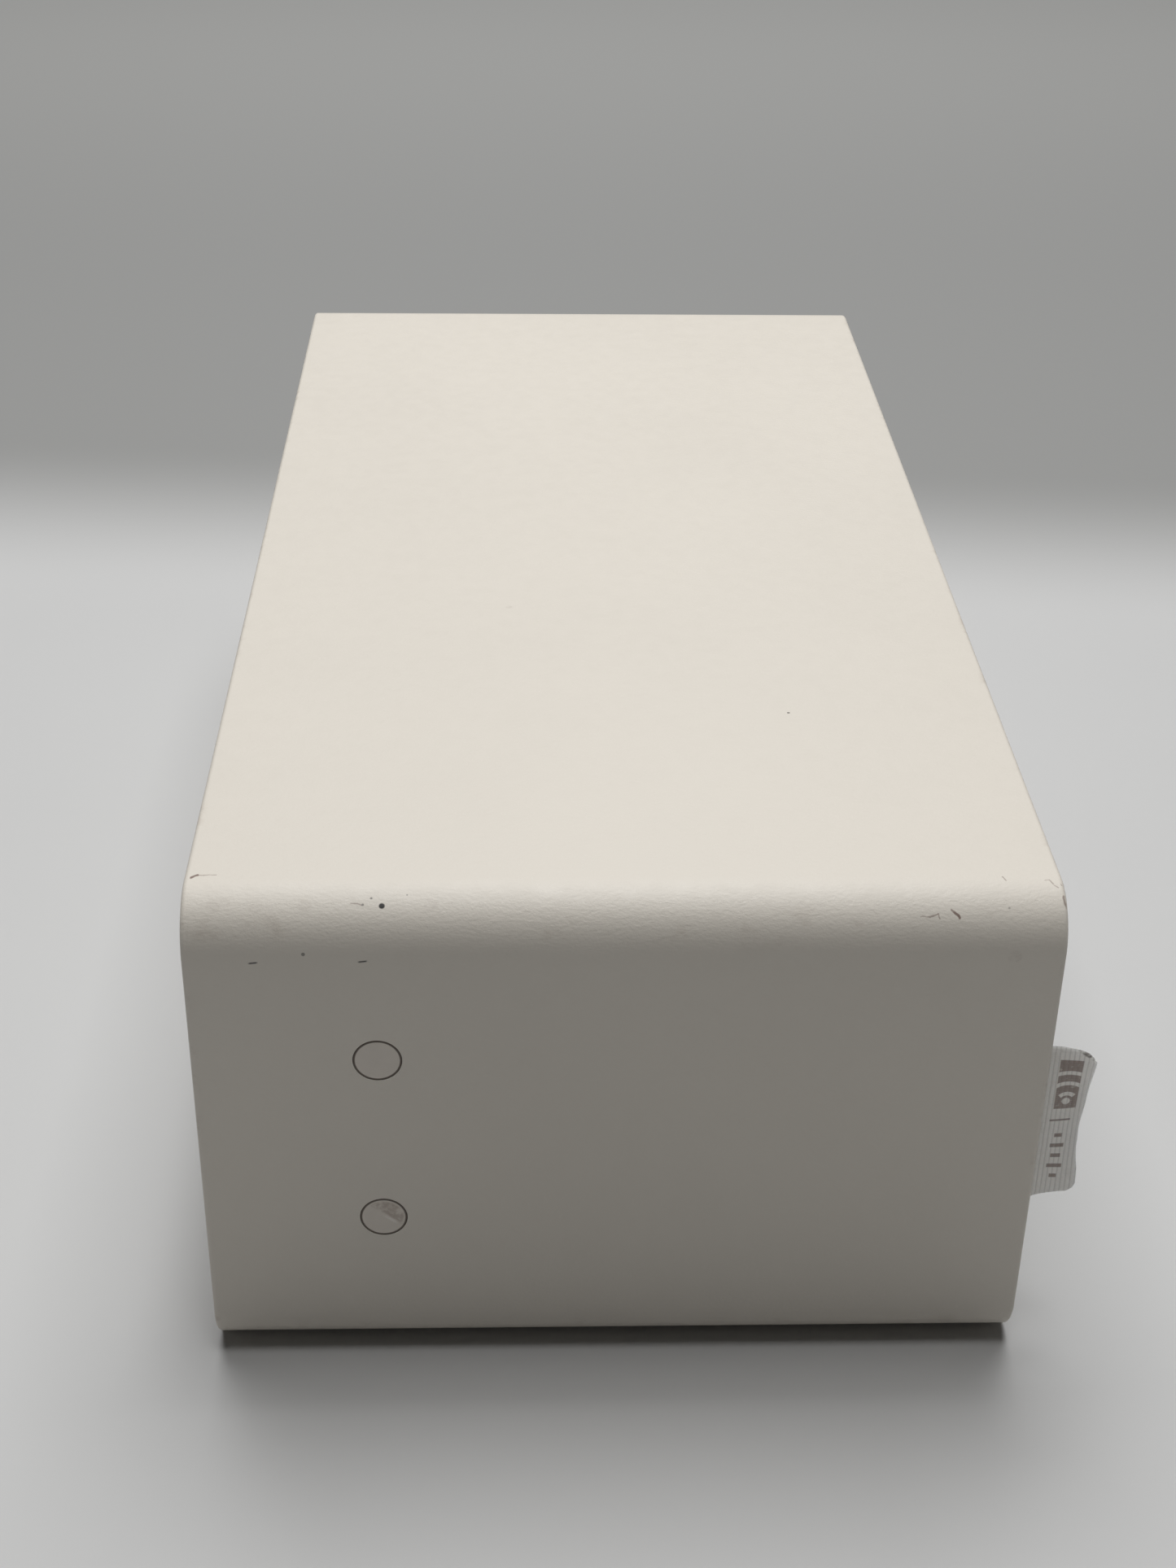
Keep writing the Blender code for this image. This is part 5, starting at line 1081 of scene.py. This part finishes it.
def basket_mesh():
    """The woofer's basket, turned about X: a flat flange with a raised bead, a tapering
    wall, and a floor with a step for the spider."""
    profile = [
        (0, 36.0), (0.0, 37.2), (-0.3, 37.5), (-0.3, 41.9), (0, 42.2), (0, 43.5), (-0.15, 43.85),
        (-0.5, 44.0), (-2, 44), (-2, 37.6), (-29, 28.8), (-29, 15.2), (-27.2, 15.2), (-27.2, 27),
        (-20.5, 27), (-20.5, 29.6), (-2, 35.6), (-0.3, 35.6),
    ]
    return carve(turned_x("basket", profile, WOOFER, 128), screw_holes("woofer", 4, WOOFER[0]))


def surround_mesh():
    """The woofer's half-roll surround, turned about X, with a flat lip at each side."""
    inner, outer = 29.7, 35.3
    middle, half = (inner + 0.9 + outer) / 2, (outer - inner - 0.9) / 2
    angles = np.linspace(0, HALF_TURN, 25)
    over = [(2.9 * math.sin(a), middle + half * math.cos(a)) for a in angles]
    under = [(2.4 * math.sin(a) - 0.5, middle + (half - 0.45) * math.cos(a)) for a in angles[::-1]]
    profile = [*over, (-0.05, inner), (-0.55, inner), *under, (-0.5, outer)]
    return turned_x("roll", profile, WOOFER, 160)


def cone_mesh():
    """The woofer's cone, turned about X: it falls from rim to neck as depth to the power
    0.85, with two shallow stiffening steps."""
    shares = np.linspace(0, 1, 41)
    radius = 29.3 + (13.7 - 29.3) * shares
    depth = -0.4 - 14.2 * shares**0.85 + 0.18 * np.sin(shares * 2 * HALF_TURN * 2.5) * (shares < 0.9)
    front = [*zip(depth, radius)]
    back = [*zip(depth - 0.7, radius)][::-1]
    return turned_x("cone", [*front, *back], WOOFER, 160)


def cap_mesh():
    """The dust cap: a shallow shell whose height falls as the cosine of its angle."""
    angles = np.linspace(0.02, HALF_TURN / 2, 25)
    top = [(-12.2 + 4.2 * math.cos(a), 15.4 * math.sin(a)) for a in angles]
    under = [(x - 0.7, max(radius - 0.35, 0.01)) for x, radius in top][::-1]
    return turned_x("cap", [*top, *under], WOOFER, 128, poles=True)


def faceplate_mesh():
    """The tweeter's plate, turned about X: a flat rim, a shallow horn and a short body."""
    angles = np.linspace(HALF_TURN / 2, 0, 17)
    horn = [(-6 * (1 - math.sin(a)), 13.6 + 7.9 * (1 - math.cos(a))) for a in angles]
    profile = [
        *horn[::-1], (0, 29.3), (-0.15, 29.75), (-0.5, 30), (-2, 30), (-2, 24.5), (-8.5, 24.5),
        (-8.5, 13.6),
    ]
    return carve(turned_x("plate", profile, TWEETER, 128), screw_holes("tweeter", 2, TWEETER[0]))


def dome_mesh():
    """The tweeter's dome: a spherical shell above a small roll, with its coil former below."""
    angles = np.linspace(0.02, HALF_TURN / 2, 25)
    top = [(-7.2 + 4.6 * math.cos(a), 11.9 * math.sin(a)) for a in angles]
    lip = [(-7.0 + 0.45 * math.sin(t), 12.25 - 0.35 * math.cos(t)) for t in np.linspace(0, HALF_TURN, 9)]
    under = [(x - 0.5, max(radius - 0.3, 0.01)) for x, radius in top][::-1]
    profile = [*top, *lip, (-14, 12.6), (-14, 12.1), (-7.9, 12.1), *under]
    return turned_x("dome", profile, TWEETER, 96, poles=True)


add_piece("front_board", baffle_mesh(), black_plastic, CABINET, "front_baffle")
add_piece("woofer_frame", basket_mesh(), flange_black, CABINET, "woofer_basket")
roll_rubber = rubber_finish("roll_rubber")
roll = add_piece("woofer_roll", surround_mesh(), roll_rubber, None, "woofer_surround")
add_piece("woofer_pulp_cone", cone_mesh(), pulp_finish(), "woofer_moving_parts", "woofer_cone")
cap_rubber = rubber_finish("cap_rubber", (0.02, 0.02, 0.021), 0.4)
add_piece("woofer_cap", cap_mesh(), cap_rubber, "woofer_moving_parts", "woofer_dust_cap")
add_piece("tweeter_plate", faceplate_mesh(), flange_black, CABINET, "tweeter_faceplate")
add_piece("silk_dome", dome_mesh(), silk_finish(tuple(TWEETER)), "tweeter_moving_parts", "tweeter_dome")
add_screws("woofer", 4, 1, dark_screw)
add_screws("tweeter", 2, 1, dark_screw)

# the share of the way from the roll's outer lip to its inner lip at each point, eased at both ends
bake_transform(roll)
spots = np.empty(len(roll.data.vertices) * 3)
roll.data.vertices.foreach_get("co", spots)
from_axis = np.hypot(*(spots.reshape(-1, 3)[:, 1:] / MM - WOOFER[1:]).T)
share = np.clip((35.0 - from_axis) / (35.0 - 30.2), 0, 1)
share = share * share * (3 - 2 * share)


# ---------------------------------------------------------------- pieces kept from the frame
inner_finishes = {
    "black_plastic": black_plastic,
    "foam": foam_finish("charcoal_foam", (0.05, 0.05, 0.052)),
    "cloth_spider": striped("treated_cloth", (0.50, 0.34, 0.12), (0.32, 0.21, 0.07), 0.5, 1, 0.85),
    "copper_coil": striped("copper_turns", (0.85, 0.42, 0.22), (0.40, 0.17, 0.08), 0.3, 0, 0.35, 1.0),
    "steel": plated,
    "ferrite": moulded("sintered_ferrite", (0.045, 0.045, 0.05), 0.6, 0.5, 0.04),
    "aluminium": metal("extruded_aluminium", (0.72, 0.73, 0.75), 0.4, (6, 6, 0.2)),
    "circuit_board": board_finish(),
    "winding_tape": striped("winding_tape", (0.72, 0.58, 0.10), (0.50, 0.38, 0.06), 2.4, 1, 0.5),
    "capacitor_sleeve": moulded("shrunk_sleeve", (0.02, 0.03, 0.085), 0.35, 3, 0.02),
    "wire_jacket": rubber_finish("wire_jacket", (0.03, 0.03, 0.03), 0.45),
    "black_rubber": rubber_finish("keypad_rubber"),
}
slots = {part["node"]: part["material_slot"] for part in frame["record"]["subparts"]}
for name, node in frame["nodes"].items():
    finish = inner_finishes.get(slots.get(name))
    if node.hide_render or finish is None:
        continue
    if node.material_slots:
        for material_slot in node.material_slots:
            material_slot.material = finish
    else:
        node.data.materials.append(finish)


# ---------------------------------------------------------------- floor, light and camera
def floor_finish():
    """Pale paper floor that turns to a mid grey behind the loudspeaker."""
    finish = Finish("pale_paper", (0.60, 0.60, 0.595), 0.6)
    x, y, z = finish.axes()
    behind = (y + x * 0.08).ramp(165, 285)
    far = y.ramp(480, 1000)
    pale = finish.mix(finish.noise(140, 3), (0.595, 0.595, 0.59), (0.63, 0.63, 0.625))
    grey = finish.mix(behind, pale, (0.31, 0.31, 0.303))
    finish.paint(finish.mix(far, grey, (0.37, 0.37, 0.36)))
    finish.bump(finish.noise(2.2, 3), 0.02)
    return finish.material


def add_floor():
    """A flat square of paper, as a grid."""
    reach = 2600.0
    line = np.linspace(-reach, reach, 9)
    x, y = np.meshgrid(line, line)
    points = np.stack([x, y, np.zeros_like(x)], axis=-1).reshape(-1, 3) * MM
    index = np.arange(81).reshape(9, 9)
    quads = np.stack([index[:-1, :-1], index[:-1, 1:], index[1:, 1:], index[1:, :-1]], -1)
    mesh = bpy.data.meshes.new("floor")
    mesh.from_pydata(points.tolist(), [], quads.reshape(-1, 4).tolist())
    floor = bpy.data.objects.new("floor", mesh)
    bpy.context.scene.collection.objects.link(floor)
    mesh.materials.append(floor_finish())


def add_light(name, place, aim, width, depth, power):
    lamp = bpy.data.lights.new(name, "AREA")
    lamp.shape = "RECTANGLE"
    lamp.size, lamp.size_y = width, depth
    lamp.energy = power
    obj = bpy.data.objects.new(name, lamp)
    bpy.context.scene.collection.objects.link(obj)
    obj.location = place
    direction = np.array(aim) - np.array(place)
    flat = math.hypot(direction[0], direction[1])
    obj.rotation_euler = (math.atan2(flat, -direction[2]), 0, math.atan2(-direction[0], direction[1]))


def add_camera():
    camera = bpy.data.cameras.new("camera")
    camera.sensor_width = 36
    camera.lens = 51.39
    obj = bpy.data.objects.new("camera", camera)
    bpy.context.scene.collection.objects.link(obj)
    obj.location = (-0.018527, -0.464750, 0.307935)
    obj.rotation_euler = (1.036127, -0.01444754, -0.02855460)
    bpy.context.scene.camera = obj


def set_world():
    """A dim room that is a little lighter round the horizon than overhead."""
    world = bpy.data.worlds.new("room")
    world.use_nodes = True
    tree = world.node_tree
    direction = tree.nodes.new("ShaderNodeTexCoord")
    height = tree.nodes.new("ShaderNodeSeparateXYZ")
    tree.links.new(direction.outputs["Generated"], height.inputs[0])
    fade = tree.nodes.new("ShaderNodeMapRange")
    fade.inputs["From Max"].default_value = 0.35
    fade.inputs["To Min"].default_value = 0.045
    fade.inputs["To Max"].default_value = 0.03
    tree.links.new(height.outputs["Z"], fade.inputs["Value"])
    background = tree.nodes["Background"]
    background.inputs["Color"].default_value = (0.97, 0.98, 1, 1)
    tree.links.new(fade.outputs["Result"], background.inputs["Strength"])
    bpy.context.scene.world = world
    bpy.context.scene.view_settings.view_transform = "Standard"


add_floor()
add_light("overhead_softbox", (0.0, 0.80, 2.0), (0, 0.62, 0), 1.5, 1.4, 36.0)
add_light("room_lamp", (0.1, -0.20, 2.1), (0, -0.18, 0), 0.8, 0.3, 12.2)
add_camera()
set_world()
